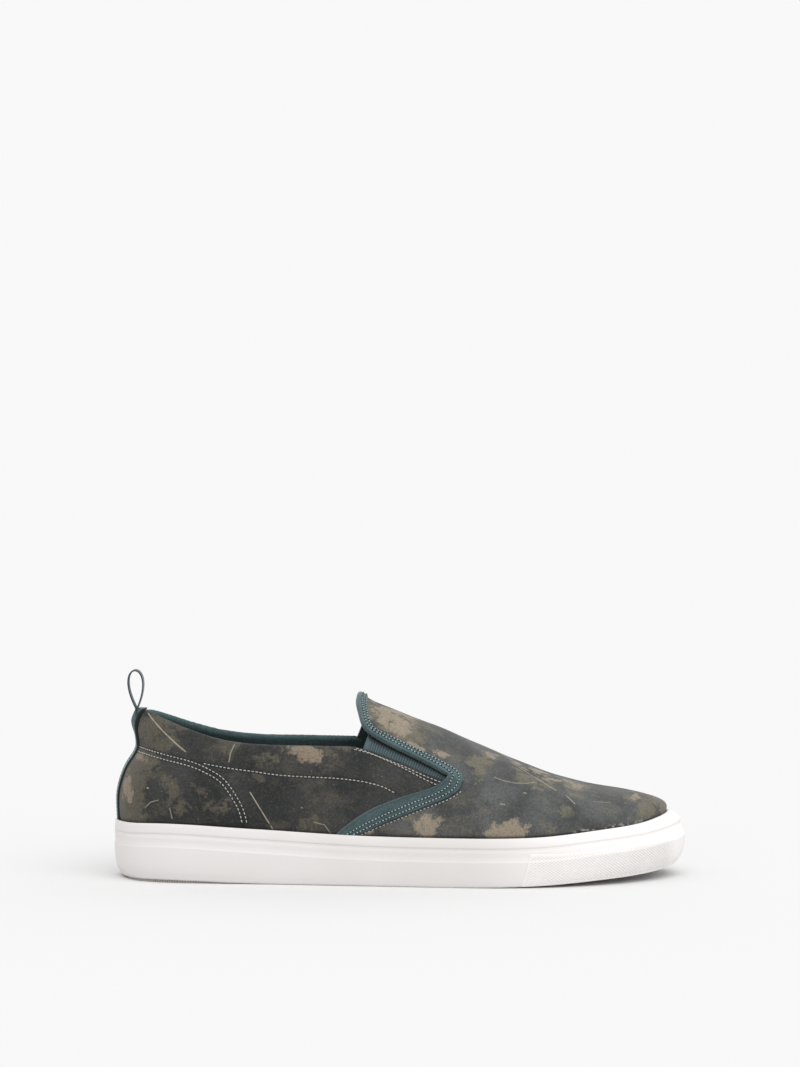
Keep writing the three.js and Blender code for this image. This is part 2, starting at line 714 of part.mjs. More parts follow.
// Ribbon bent to a drop, with its two ends sewn together under the top of the back stay.
function pullLoopSolid() {
  const tab = lastForm((p) => stayBase(p) + 2 * LOOP_THICKNESS, 0)
    .subtract(lastForm((p) => stayBase(p), FAR_BELOW))
    .intersect(boxPrism(-20, 40, stayTop - LOOP_TAB + 1, stayTop + 1, -LOOP_BAND / 2, LOOP_BAND / 2));
  const rootX = tab.boundingBox().min[0] + LOOP_SETBACK;
  const half = (turn, width) => 1.3 * Math.sin(turn) * Math.sqrt((1 - Math.cos(turn)) / 2) * width;
  const dropSide = (side, width, low, high) => {
    const line = [];
    for (let k = 0; k <= LOOP_STEPS; k += 1) {
      const turn = (Math.PI * k) / LOOP_STEPS;
      const up = low + ((high - low) * (1 - Math.cos(turn))) / 2;
      const x = rootX - LOOP_TILT * up + side * (half(turn, width) + LOOP_THICKNESS * (1 - up) ** 2);
      line.push([x, stayTop + GAP + up * LOOP_HEIGHT]);
    }
    return line;
  };
  const rim = [...dropSide(1, LOOP_WIDTH / 2, 0, 1), ...dropSide(-1, LOOP_WIDTH / 2, 0, 1).slice(0, -1).reverse()];
  const inner = LOOP_WIDTH / 2 - LOOP_THICKNESS;
  const top = 1 - LOOP_THICKNESS / LOOP_HEIGHT;
  const hole = [
    ...dropSide(1, inner, LOOP_FOOT, top).slice(1),
    ...dropSide(-1, inner, LOOP_FOOT, top).slice(1, -1).reverse(),
  ];
  return sidePrism(rim, -LOOP_BAND / 2, LOOP_BAND / 2).subtract(sidePrism(hole, -LOOP_BAND, LOOP_BAND)).add(tab);
}

// ---- Insole ----

function insoleSolid() {
  return solidFromRings(
    ringsFrom((s) => {
      const out = -(cupInset(s) + GAP + WALL + GAP);
      const base = bedHeight(s) + GAP;
      return [shifted(s, out, base), shifted(s, out, base + INSOLE_THICKNESS - 1), shifted(s, out - 1, base + INSOLE_THICKNESS)];
    }),
    false,
  );
}

// ---- Assembly ----

const group = new THREE.Group();
group.name = "slip_on_sneaker";

const material = (color, roughness) => new THREE.MeshStandardMaterial({ color, roughness, metalness: 0 });

function addNode(name, solid, surface) {
  const made = solid.getMesh();
  const geometry = new THREE.BufferGeometry();
  geometry.setAttribute("position", new THREE.Float32BufferAttribute(made.vertProperties, 3));
  geometry.setIndex([...made.triVerts]);
  const mesh = new THREE.Mesh(geometry, surface);
  mesh.name = name;
  group.add(mesh);
  return mesh;
}

addNode("sole", soleSolid(), material(0xe6e2de, 0.6));
addNode("toe_bumper", bumperSolid(), material(0xe9e5e1, 0.65));
addNode("insole", insoleSolid(), material(0x2b2d2e, 0.9));
addNode("upper", upperSolid(), material(0x4c4b46, 0.85));
addNode("tape", tapeSolid(), material(0x4a6462, 0.8));
addNode("gore_outer", goreSolid(-1), material(0x486566, 0.85));
addNode("gore_inner", goreSolid(1), material(0x486566, 0.85));
addNode("back_stay", backStaySolid(), material(0x4a6462, 0.8));
addNode("pull_loop", pullLoopSolid(), material(0x3f5654, 0.8));

// The origin goes to the floor under the middle of the bounding box.
const reach = new THREE.Box3().setFromObject(group);
const middle = reach.getCenter(new THREE.Vector3());
group.children.forEach((mesh) => mesh.geometry.translate(-middle.x, -middle.y, -reach.min.z));

export default group;
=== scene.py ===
"""Slip-on sneaker for the right foot: the dressed model over its construction frame.

Sizes are millimetres in the shoe's own axes: x runs from the heel to the toe, y to the inner side of
the foot and z up from the floor. Meshes are written in metres in the frame's axes.
"""

import json
import logging
import math
from dataclasses import dataclass, field
from enum import Enum

import bmesh
import bpy
import numpy as np
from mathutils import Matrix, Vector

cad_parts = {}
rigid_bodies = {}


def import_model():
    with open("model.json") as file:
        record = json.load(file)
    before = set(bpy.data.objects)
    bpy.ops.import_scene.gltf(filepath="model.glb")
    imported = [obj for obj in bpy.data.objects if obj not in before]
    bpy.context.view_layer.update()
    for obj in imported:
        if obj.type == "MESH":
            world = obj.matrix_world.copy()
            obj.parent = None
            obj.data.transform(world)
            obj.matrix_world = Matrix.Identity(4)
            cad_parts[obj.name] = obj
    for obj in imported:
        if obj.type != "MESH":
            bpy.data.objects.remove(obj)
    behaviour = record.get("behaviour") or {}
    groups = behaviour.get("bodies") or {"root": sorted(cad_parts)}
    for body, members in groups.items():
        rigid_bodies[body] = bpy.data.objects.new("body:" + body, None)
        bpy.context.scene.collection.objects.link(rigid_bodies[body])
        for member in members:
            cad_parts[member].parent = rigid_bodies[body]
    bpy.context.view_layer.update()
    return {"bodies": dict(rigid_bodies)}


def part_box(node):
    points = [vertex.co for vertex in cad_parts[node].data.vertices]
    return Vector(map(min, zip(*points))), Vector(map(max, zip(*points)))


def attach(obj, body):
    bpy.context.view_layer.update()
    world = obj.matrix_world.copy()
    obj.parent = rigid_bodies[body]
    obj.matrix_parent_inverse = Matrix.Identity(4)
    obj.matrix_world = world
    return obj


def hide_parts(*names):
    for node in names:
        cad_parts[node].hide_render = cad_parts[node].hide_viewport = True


log = logging.getLogger("sneaker")

MM = 0.001


@dataclass(frozen=True)
class Table:
    """Rows of shares with named columns; the first column is the one that the others follow."""

    columns: tuple[str, ...]
    rows: tuple[tuple[float, ...], ...]

    def column(self, name: str) -> np.ndarray:
        """One column as an array."""
        return np.array(self.rows, float)[:, self.columns.index(name)]

    def at(self, name: str, where: np.ndarray | float) -> np.ndarray:
        """Reads a column with a smooth curve: a cubic through the rows, with the slopes of their neighbours.

        Args:
            name: The column that is read.
            where: Places along the first column.

        Returns:
            The column's values at those places.
        """
        keys = self.column(self.columns[0])
        values = self.column(name)
        slopes = np.gradient(values, keys, edge_order=1)
        slopes[1:-1] = (values[2:] - values[:-2]) / (keys[2:] - keys[:-2])
        s = np.clip(where, keys[0], keys[-1])
        i = np.clip(np.searchsorted(keys, s, side="left") - 1, 0, len(keys) - 2)
        width = keys[i + 1] - keys[i]
        t = (s - keys[i]) / width
        rise = values[i + 1] - values[i]
        bend = (1 - t) * (slopes[i] * width - rise) + t * (rise - slopes[i + 1] * width)
        return values[i] + t * rise + t * (1 - t) * bend


OUTLINE = Table(
    ("along", "outer", "inner"),
    (
        (0, 0, 0), (0.014, 0.145, 0.145), (0.042, 0.25, 0.25), (0.09, 0.315, 0.315),
        (0.16, 0.345, 0.338), (0.28, 0.37, 0.332), (0.38, 0.404, 0.322), (0.48, 0.44, 0.342),
        (0.58, 0.478, 0.4), (0.67, 0.5, 0.46), (0.75, 0.486, 0.49), (0.83, 0.428, 0.472),
        (0.9, 0.334, 0.398), (0.955, 0.215, 0.29), (0.988, 0.09, 0.17), (1, -0.04, 0.04),
    ),
)

SOLE_SECTIONS = Table(
    ("along", "edge", "top", "lean", "taper"),
    (
        (0, 0.03, 0.965, 0.015, 0.1), (0.1, 0.045, 1, 0.02, 0.08), (0.25, 0.005, 0.925, 0.03, 0.05),
        (0.43, 0, 0.84, 0.035, 0.03), (0.62, 0, 0.82, 0.04, 0.03), (0.74, 0.03, 0.84, 0.05, 0.04),
        (0.84, 0.085, 0.92, 0.075, 0.06), (0.92, 0.13, 0.98, 0.13, 0.08), (0.97, 0.18, 1.05, 0.2, 0.1),
        (1, 0.24, 1.1, 0.24, 0.11),
    ),
)

WALL_PROFILE = Table(
    ("up", "taper"),
    ((0.05, 1), (0.1, 0.68), (0.16, 0.45), (0.24, 0.24), (0.34, 0.1), (0.45, 0.03)),
)

LAST_SECTIONS = Table(
    ("along", "ridge", "aside", "upright", "broad", "swell"),
    (
        (0.13, 1.17, 0, 0.66, 0.8, 0.02), (0.24, 1.15, 0, 0.66, 0.82, 0.012),
        (0.34, 1.1, 0.01, 0.62, 0.76, 0.008), (0.43, 0.976, 0.02, 0.58, 0.66, 0.006),
        (0.5, 0.887, 0.025, 0.54, 0.56, 0.008), (0.58, 0.788, 0.03, 0.5, 0.5, 0.01),
        (0.66, 0.68, 0.035, 0.46, 0.48, 0.012), (0.74, 0.574, 0.035, 0.46, 0.5, 0.014),
        (0.8, 0.514, 0.038, 0.5, 0.56, 0.014), (0.86, 0.477, 0.04, 0.56, 0.66, 0.01),
    ),
)

HEEL_CURVE = Table(
    ("up", "lean", "close"),
    (
        (0.33, 0, 0), (0.46, 0.01, 0.02), (0.6, 0.05, 0.08), (0.7, 0.08, 0.18), (0.8, 0.088, 0.3),
        (0.92, 0.1, 0.4),
    ),
)

COLLAR_EDGE = Table(
    ("along", "up"),
    (
        (-0.02, 0.905), (0.03, 0.908), (0.056, 0.906), (0.085, 0.876), (0.13, 0.825), (0.175, 0.783),
        (0.22, 0.757), (0.27, 0.745), (0.34, 0.742), (0.416, 0.741),
    ),
)

NOTCH_EDGE = Table(
    ("along", "up"),
    (
        (0.422, 0.738), (0.437, 0.727), (0.458, 0.706), (0.501, 0.656), (0.544, 0.6), (0.576, 0.562),
    ),
)

TONGUE_EDGE = Table(
    ("along", "up"),
    (
        (0.583, 0.586), (0.567, 0.617), (0.545, 0.652), (0.523, 0.685), (0.502, 0.715), (0.482, 0.746),
        (0.462, 0.779), (0.448, 0.807), (0.4375, 0.844), (0.432, 0.896), (0.428, 0.95), (0.4285, 0.976),
        (0.432, 1.0), (0.44, 1.06),
    ),
)

TAPE_FRONT_LOW = Table(
    ("along", "up"),
    (
        (0.405, 0.23), (0.422, 0.258), (0.457, 0.309), (0.502, 0.368), (0.543, 0.42), (0.58, 0.464),
        (0.602, 0.506), (0.609, 0.548),
    ),
)

TAPE_FRONT_HIGH = Table(
    ("along", "up"),
    (
        (0.609, 0.548), (0.606, 0.588), (0.59, 0.623), (0.562, 0.666), (0.541, 0.697), (0.52, 0.727),
        (0.5, 0.756), (0.479, 0.785), (0.461, 0.809), (0.452, 0.833), (0.447, 0.869), (0.444, 0.929),
        (0.4435, 0.97), (0.45, 1.06),
    ),
)

TAPE_REAR = Table(
    ("along", "up"),
    (
        (0.376, 0.23), (0.392, 0.276), (0.414, 0.334), (0.434, 0.378), (0.46, 0.422), (0.502, 0.472),
        (0.546, 0.513), (0.567, 0.54), (0.58, 0.572),
    ),
)

COUNTER_ROW = Table(
    ("along", "up"),
    (
        (0.03, 0.708), (0.058, 0.698), (0.1, 0.674), (0.145, 0.642), (0.179, 0.597), (0.197, 0.56),
        (0.21, 0.513), (0.22, 0.465), (0.229, 0.416), (0.235, 0.36), (0.24, 0.28), (0.242, 0.25),
    ),
)

PAD_SEAM = Table(
    ("along", "up"),
    (
        (0, 0.72), (0.06, 0.7), (0.12, 0.664), (0.166, 0.636), (0.21, 0.614), (0.25, 0.599), (0.3, 0.58),
        (0.4, 0.565), (0.46, 0.535), (0.5, 0.48),
    ),
)

BUMPER_TOP = Table(
    ("along", "up"),
    ((0.715, 0.57), (0.78, 0.565), (0.86, 0.6), (0.93, 0.66), (1.05, 0.78)),
)


def ramp(low: float, high: float, value: np.ndarray) -> np.ndarray:
    """Smooth step: 0 below low, 1 above high, and 3t^2 - 2t^3 between them."""
    t = np.clip((value - low) / (high - low), 0, 1)
    return t * t * (3 - 2 * t)


def unit(vectors: np.ndarray) -> np.ndarray:
    """The vectors divided by their lengths."""
    return vectors / np.maximum(np.linalg.norm(vectors, axis=-1, keepdims=True), 1e-12)


def closed_spline(points: np.ndarray, at: np.ndarray) -> np.ndarray:
    """Closed centripetal spline: each span is the cubic whose end slopes come from the roots of the chords.

    Args:
        points: Control points, one row each.
        at: Places from 0 to 1 round the whole ring.

    Returns:
        The points of the curve.
    """
    n = len(points)
    u = np.asarray(at) % 1 * n
    i = np.floor(u).astype(int)
    t = (u - i)[:, None]
    a, b, c, d = (points[(i + k) % n] for k in (-1, 0, 1, 2))
    ab, bc, cd = (np.sqrt(np.linalg.norm(q - p, axis=1, keepdims=True)) for p, q in ((a, b), (b, c), (c, d)))
    first = ((b - a) / ab - (c - a) / (ab + bc) + (c - b) / bc) * bc
    last = ((c - b) / bc - (d - b) / (bc + cd) + (d - c) / cd) * bc
    square = -3 * b + 3 * c - 2 * first - last
    cube = 2 * b - 2 * c + first + last
    return b + first * t + square * t**2 + cube * t**3


def open_spline(points: np.ndarray, count: int) -> np.ndarray:
    """Uniform spline through open points, with mirrored ends, resampled to even steps of its length.

    Args:
        points: The points that it passes through.
        count: How many points come back.

    Returns:
        The even points.
    """
    padded = np.vstack([2 * points[0] - points[1], points, 2 * points[-1] - points[-2]])
    u = np.linspace(0, len(points) - 1, 40 * len(points))
    i = np.minimum(np.floor(u).astype(int), len(points) - 2)
    t = (u - i)[:, None]
    a, b, c, d = (padded[i + k] for k in range(4))
    fine = b + 0.5 * t * (c - a + t * (2 * a - 5 * b + 4 * c - d + t * (3 * (b - c) + d - a)))
    return resample(fine, count)


def lengths_along(points: np.ndarray) -> np.ndarray:
    """Distance from the first point to each point along their polyline."""
    return np.concatenate([[0], np.cumsum(np.linalg.norm(np.diff(points, axis=0), axis=1))])


def resample(points: np.ndarray, count: int) -> np.ndarray:
    """The polyline with even steps of its length."""
    run = lengths_along(points)
    even = np.linspace(0, run[-1], count)
    return np.column_stack([np.interp(even, run, points[:, k]) for k in range(points.shape[1])])


def line_distance(points: np.ndarray, line: np.ndarray) -> np.ndarray:
    """Least distance from each point to a polyline, by the foot of the perpendicular on each segment.

    Args:
        points: Places, one row each.
        line: The polyline's points.

    Returns:
        One distance for each place.
    """
    best = np.full(len(points), np.inf)
    for a, b in zip(line[:-1], line[1:]):
        run = b - a
        t = np.clip((points - a) @ run / max(run @ run, 1e-12), 0, 1)
        best = np.minimum(best, np.linalg.norm(points - a - t[:, None] * run, axis=1))
    return best


def shifted_line(line: np.ndarray, distance: float) -> np.ndarray:
    """A line moved sideways in the side view, to the left of its run when the distance is positive."""
    run = unit(np.gradient(line, axis=0))
    return line + np.column_stack([-run[:, 1], run[:, 0]]) * distance


def inside_outline(points: np.ndarray, outline: np.ndarray) -> np.ndarray:
    """Which points a closed outline holds: an upward ray crosses it an odd number of times.

    Args:
        points: Places, one row each.
        outline: The closed outline's points.

    Returns:
        True for each place inside.
    """
    odd = np.zeros(len(points), bool)
    for a, b in zip(outline, np.roll(outline, -1, axis=0)):
        spans = (a[0] > points[:, 0]) != (b[0] > points[:, 0])
        height = a[1] + (points[:, 0] - a[0]) * (b[1] - a[1]) / (b[0] - a[0] if b[0] != a[0] else 1e-12)
        odd ^= spans & (points[:, 1] < height)
    return odd


@dataclass(frozen=True)
class Sizes:
    """Main sizes of the shoe, in millimetres."""

    length: float = 292
    ball: float = 104
    wall_height: float = 30
    upper_height: float = 94
    lip_thickness: float = 2
    lip_height: float = 5.2
    step_below: float = 11.7
    bed_height: float = 11
    gap: float = 0.3
    wall: float = 1.8
    padding: float = 3
    pad_swell: float = 0.9
    counter_step: float = 0.5


SHOE = Sizes()


def side_line(table: Table, count: int, tall: float = SHOE.upper_height) -> np.ndarray:
    """A table's line in the side view, as even points in millimetres."""
    points = np.column_stack([table.column("along") * SHOE.length, table.column("up") * tall])
    return open_spline(points, count)


class Outline:
    """Plan of the sole: stations by their turn, 0 at the heel, 1 at the toe and 2 at the heel again."""

    FINE = 400
    CROWDING = 0.075

    def __init__(self) -> None:
        """Samples both halves of the closed plan by their length."""
        along = OUTLINE.column("along") * SHOE.length
        outer = np.column_stack([along, -OUTLINE.column("outer") * SHOE.ball])
        inner = np.column_stack([along, OUTLINE.column("inner") * SHOE.ball])
        ring = np.vstack([outer, inner[1:-1][::-1]])
        toe = (len(outer) - 1) / len(ring)
        share = np.linspace(0, 1, self.FINE + 1)
        self.halves = [closed_spline(ring, toe * share), closed_spline(ring, 1 + (toe - 1) * share)]

    def plan(self, turn: np.ndarray) -> np.ndarray:
        """Points of the plan: equal steps of length, crowded at heel and toe by a sine of the turn.

        Args:
            turn: Places round the outline, 0 to 2.

        Returns:
            Points in the plan.
        """
        turn = np.asarray(turn, float) % 2
        u = np.where(turn <= 1, turn, 2 - turn)
        share = u - self.CROWDING * np.sin(2 * np.pi * u)
        found = []
        for half in self.halves:
            run = lengths_along(half)
            found.append([np.interp(share * run[-1], run, half[:, k]) for k in (0, 1)])
        side = turn <= 1
        return np.column_stack([np.where(side, found[0][k], found[1][k]) for k in (0, 1)])

    def stations(self, turn: np.ndarray) -> tuple[np.ndarray, np.ndarray]:
        """Points of the plan and their outward normals, at right angles to the run of the plan."""
        step = 0.012
        run = self.plan(turn + step) - self.plan(turn - step)
        return self.plan(turn), unit(np.column_stack([run[:, 1], -run[:, 0]]))


OUTLINE_PLAN = Outline()


def sole_at(along: np.ndarray) -> dict[str, np.ndarray]:
    """Heights and insets of the sole's wall in millimetres, read from its table."""
    found = {name: SOLE_SECTIONS.at(name, along) * SHOE.wall_height for name in SOLE_SECTIONS.columns[1:]}
    found["height"] = found["top"] - found["edge"]
    return found


class Last:
    """Outer surface of the upper as a grid of stations round the foot and rows up to the ridge."""

    STATIONS = 440
    CUP_ROWS = 4
    ROWS = 124

    def __init__(self) -> None:
        """Works out the points, normals and side-view fields of the grid."""
        self.turn = np.arange(self.STATIONS) * 2 / self.STATIONS
        self.points = self._columns()
        self.normals = self._normals()
        self.along = self.points[..., 0] / SHOE.length
        self.up = self.points[..., 2] / SHOE.upper_height
        edge = COLLAR_EDGE.at("up", self.along)
        seam = PAD_SEAM.at("up", self.along)
        share = np.clip((self.up - seam) / (edge - seam), 0, 1)
        self.pad = share * (1 - ramp(0.4, 0.46, self.along))
        pinch = 2.6 * (1 - ramp(0.02, 0.2, self.along)) * np.exp(-(((self.up - 0.71) / 0.09) ** 2))
        self.skin = SHOE.pad_swell * np.sin(np.pi * self.pad) - pinch
        self.lining = self.skin - SHOE.wall - SHOE.padding * np.sin(np.pi / 2 * self.pad)
        self.face = self.points + self.normals * self.skin[..., None]

    def _columns(self) -> np.ndarray:
        """Each column is a cubic from the sole's lip to the ridge.

        Its first handle stands up and swells outward, and its second handle lies level with the ridge.
        The heel then leans forward and closes in with height.

        Returns:
            The points of every column.
        """
        plan, normal = OUTLINE_PLAN.stations(self.turn)
        along = plan[:, 0] / SHOE.length
        wall = sole_at(along)
        inset = -(wall["lean"] + SHOE.lip_thickness + SHOE.gap)
        rim = np.column_stack([plan + normal * inset[:, None], wall["top"]])
        foot = rim.copy()
        foot[:, 2] = SHOE.bed_height + wall["edge"] + SHOE.gap
        facing = np.roll(plan[::-1], 1, axis=0)
        share = np.clip((plan[:, 0] + facing[:, 0]) / 2 / SHOE.length, 0, 1)
        keys = LAST_SECTIONS.column("along")
        place = keys[0] + (keys[-1] - keys[0]) * share

        def ridge(at: np.ndarray) -> np.ndarray:
            """Points of the ridge at shares of the length."""
            columns = [at * SHOE.length, LAST_SECTIONS.at("aside", at) * SHOE.ball]
            return np.column_stack([*columns, LAST_SECTIONS.at("ridge", at) * SHOE.upper_height])

        top = ridge(place)
        step = 0.01 * (keys[-1] - keys[0])
        ahead, behind = ridge(np.minimum(place + step, keys[-1])), ridge(np.maximum(place - step, keys[0]))
        slope = (ahead[:, 2] - behind[:, 2]) / (ahead[:, 0] - behind[:, 0])
        out = (rim - top) * [1, 1, 0]
        low = rim.copy()
        low[:, 2] += LAST_SECTIONS.at("upright", place) * (top[:, 2] - rim[:, 2])
        low[:, :2] += normal * (LAST_SECTIONS.at("swell", place) * SHOE.length)[:, None]
        broad = LAST_SECTIONS.at("broad", place)[:, None]
        high = top + out * broad
        high[:, 2] += slope * out[:, 0] * broad[:, 0]
        v = np.linspace(0, 1, self.ROWS - self.CUP_ROWS)[None, :, None]
        rim, low, high, top = (p[:, None, :] for p in (rim, low, high, top))
        bend = (1 - v) ** 3 * rim + 3 * v * (1 - v) ** 2 * low + 3 * v**2 * (1 - v) * high + v**3 * top
        bend = self._heel_shaped(bend)
        lift = np.linspace(0, 1, self.CUP_ROWS, endpoint=False)[None, :, None]
        cup = foot[:, None, :] + (rim - foot[:, None, :]) * lift
        return np.concatenate([cup, bend], axis=1)

    def _heel_shaped(self, points: np.ndarray) -> np.ndarray:
        """The heel's lean forward and the closing of the collar round the ankle.

        Args:
            points: The last's points.

        Returns:
            The points with the heel's curve.
        """
        up = points[..., 2] / SHOE.upper_height
        along = points[..., 0] / SHOE.length
        shaped = points.copy()
        shaped[..., 0] += HEEL_CURVE.at("lean", up) * SHOE.upper_height * (1 - ramp(0, 0.3, along))
        shaped[..., 1] *= 1 - HEEL_CURVE.at("close", up) * (1 - ramp(0.06, 0.36, along))
        return shaped

    def _normals(self) -> np.ndarray:
        """Outward normals: the run round the foot crossed with the run up the column.

        Returns:
            Unit normals of the grid's points.
        """
        round_run = np.roll(self.points, -1, axis=0) - np.roll(self.points, 1, axis=0)
        up_run = np.gradient(self.points, axis=1)
        normals = unit(np.cross(round_run, up_run))
        facing = np.roll(normals[::-1, -1], 1, axis=0)
        normals[:, -1] = unit(normals[:, -1] + facing)
        for end in (0, self.STATIONS // 2):
            near = (np.arange(-3, 4) + end) % self.STATIONS
            normals[near, -1] = normals[near, -2]
        return normals

    def sample(self, values: np.ndarray, at: np.ndarray) -> np.ndarray:
        """Values of the grid between its points, straight in both directions.

        Args:
            values: Anything with a value at each station and row.
            at: Places as (station, row) pairs, with fractions; stations go round.

        Returns:
            The values at those places.
        """
        row = np.clip(at[..., 1], 0, self.ROWS - 1)
        i = np.floor(at[..., 0]).astype(int)
        j = np.minimum(np.floor(row).astype(int), self.ROWS - 2)
        s, t = at[..., 0] - i, row - j
        if values.ndim == 3:
            s, t = s[..., None], t[..., None]
        i, k = i % self.STATIONS, (i + 1) % self.STATIONS
        low = values[i, j] * (1 - s) + values[k, j] * s
        return low * (1 - t) + (values[i, j + 1] * (1 - s) + values[k, j + 1] * s) * t

    def off(self, at: np.ndarray, out: np.ndarray | float) -> np.ndarray:
        """Points at a distance from the cloth's face along its normals."""
        normal = unit(self.sample(self.normals, at))
        return self.sample(self.face, at) + normal * np.asarray(out, float)[..., None]

    def find(self, line: np.ndarray, inner: bool) -> np.ndarray:
        """Places on one side of the foot that lie behind points of the side view.

        The nearest grid point is the start, and steps of Newton's rule in the side view refine it. Points
        above the ridge stay on the ridge.

        Args:
            line: Points as (x, z) in the side view.
            inner: Whether the inner side of the foot is meant.

        Returns:
            (station, row) pairs.
        """
        half = self.STATIONS // 2
        columns = np.arange(half, self.STATIONS + 1) if inner else np.arange(0, half + 1)
        side = self.face[columns % self.STATIONS][:, self.CUP_ROWS :, ::2]
        flat = side.reshape(-1, 2)
        nearest = np.array([np.argmin(((flat - p) ** 2).sum(axis=1)) for p in line])
        rows = side.shape[1]
        at = np.column_stack([columns[nearest // rows], nearest % rows + self.CUP_ROWS]).astype(float)
        low, high = columns[0] + 0.5, columns[-1] - 0.5
        for _ in range(6):
            here = self.sample(self.face, at)[:, ::2]
            ahead, behind = (self.sample(self.face, at + [step, 0])[:, ::2] for step in (0.5, -0.5))
            side_step = ahead - behind
            shy = np.column_stack([at[:, 0], np.clip(at[:, 1], 0.5, self.ROWS - 1.5)])
            above, below = (self.sample(self.face, shy + [0, step])[:, ::2] for step in (0.5, -0.5))
            rise = above - below
            miss = line - here
            area = side_step[:, 0] * rise[:, 1] - side_step[:, 1] * rise[:, 0]
            area = np.where(np.abs(area) < 1e-3, 1e-3, area)
            station_move = miss[:, 0] * rise[:, 1] - miss[:, 1] * rise[:, 0]
            row_move = side_step[:, 0] * miss[:, 1] - side_step[:, 1] * miss[:, 0]
            move = np.column_stack([station_move, row_move])
            at = at + np.clip(move / area[:, None], -4, 4)
            at[:, 0] = np.clip(at[:, 0], low, high)
            at[:, 1] = np.clip(at[:, 1], self.CUP_ROWS, self.ROWS - 1)
        return at


LAST = Last()


@dataclass
class Weld:
    """Where the shoe's own axes lie in the frame, worked out from the frame's sole."""

    shift: np.ndarray = field(default_factory=lambda: np.zeros(3))

    def to_frame(self, points: np.ndarray) -> np.ndarray:
        """Millimetres in the shoe's axes to metres in the frame."""
        return (points + self.shift) * MM

    def fit(self, low: tuple[float, float, float]) -> None:
        """Matches the heel end and the outer side of the plan to the frame's sole."""
        plan = OUTLINE_PLAN.plan(np.linspace(0, 2, 800, endpoint=False))
        self.shift = np.array([low[0] / MM - plan[:, 0].min(), low[1] / MM - plan[:, 1].min(), 0.0])


WELD = Weld()


@dataclass
class Body:
    """The one body of the frame that every piece rides on."""

    name: str = ""


BODY = Body()


def grid_faces(columns: int, rows: int, round_columns: bool = False, round_rows: bool = False) -> np.ndarray:
    """Quads of a grid whose points are numbered column by column; either direction may close on itself.

    Args:
        columns: Number of columns.
        rows: Number of points in a column.
        round_columns: Whether the last column joins the first.
        round_rows: Whether the last row joins the first.

    Returns:
        The quads, four point numbers each.
    """
    i = np.arange(columns if round_columns else columns - 1)
    j = np.arange(rows if round_rows else rows - 1)
    i, j = (a.ravel() for a in np.meshgrid(i, j, indexing="ij"))
    k, m = (i + 1) % columns, (j + 1) % rows
    return np.column_stack([i * rows + j, k * rows + j, k * rows + m, i * rows + m])


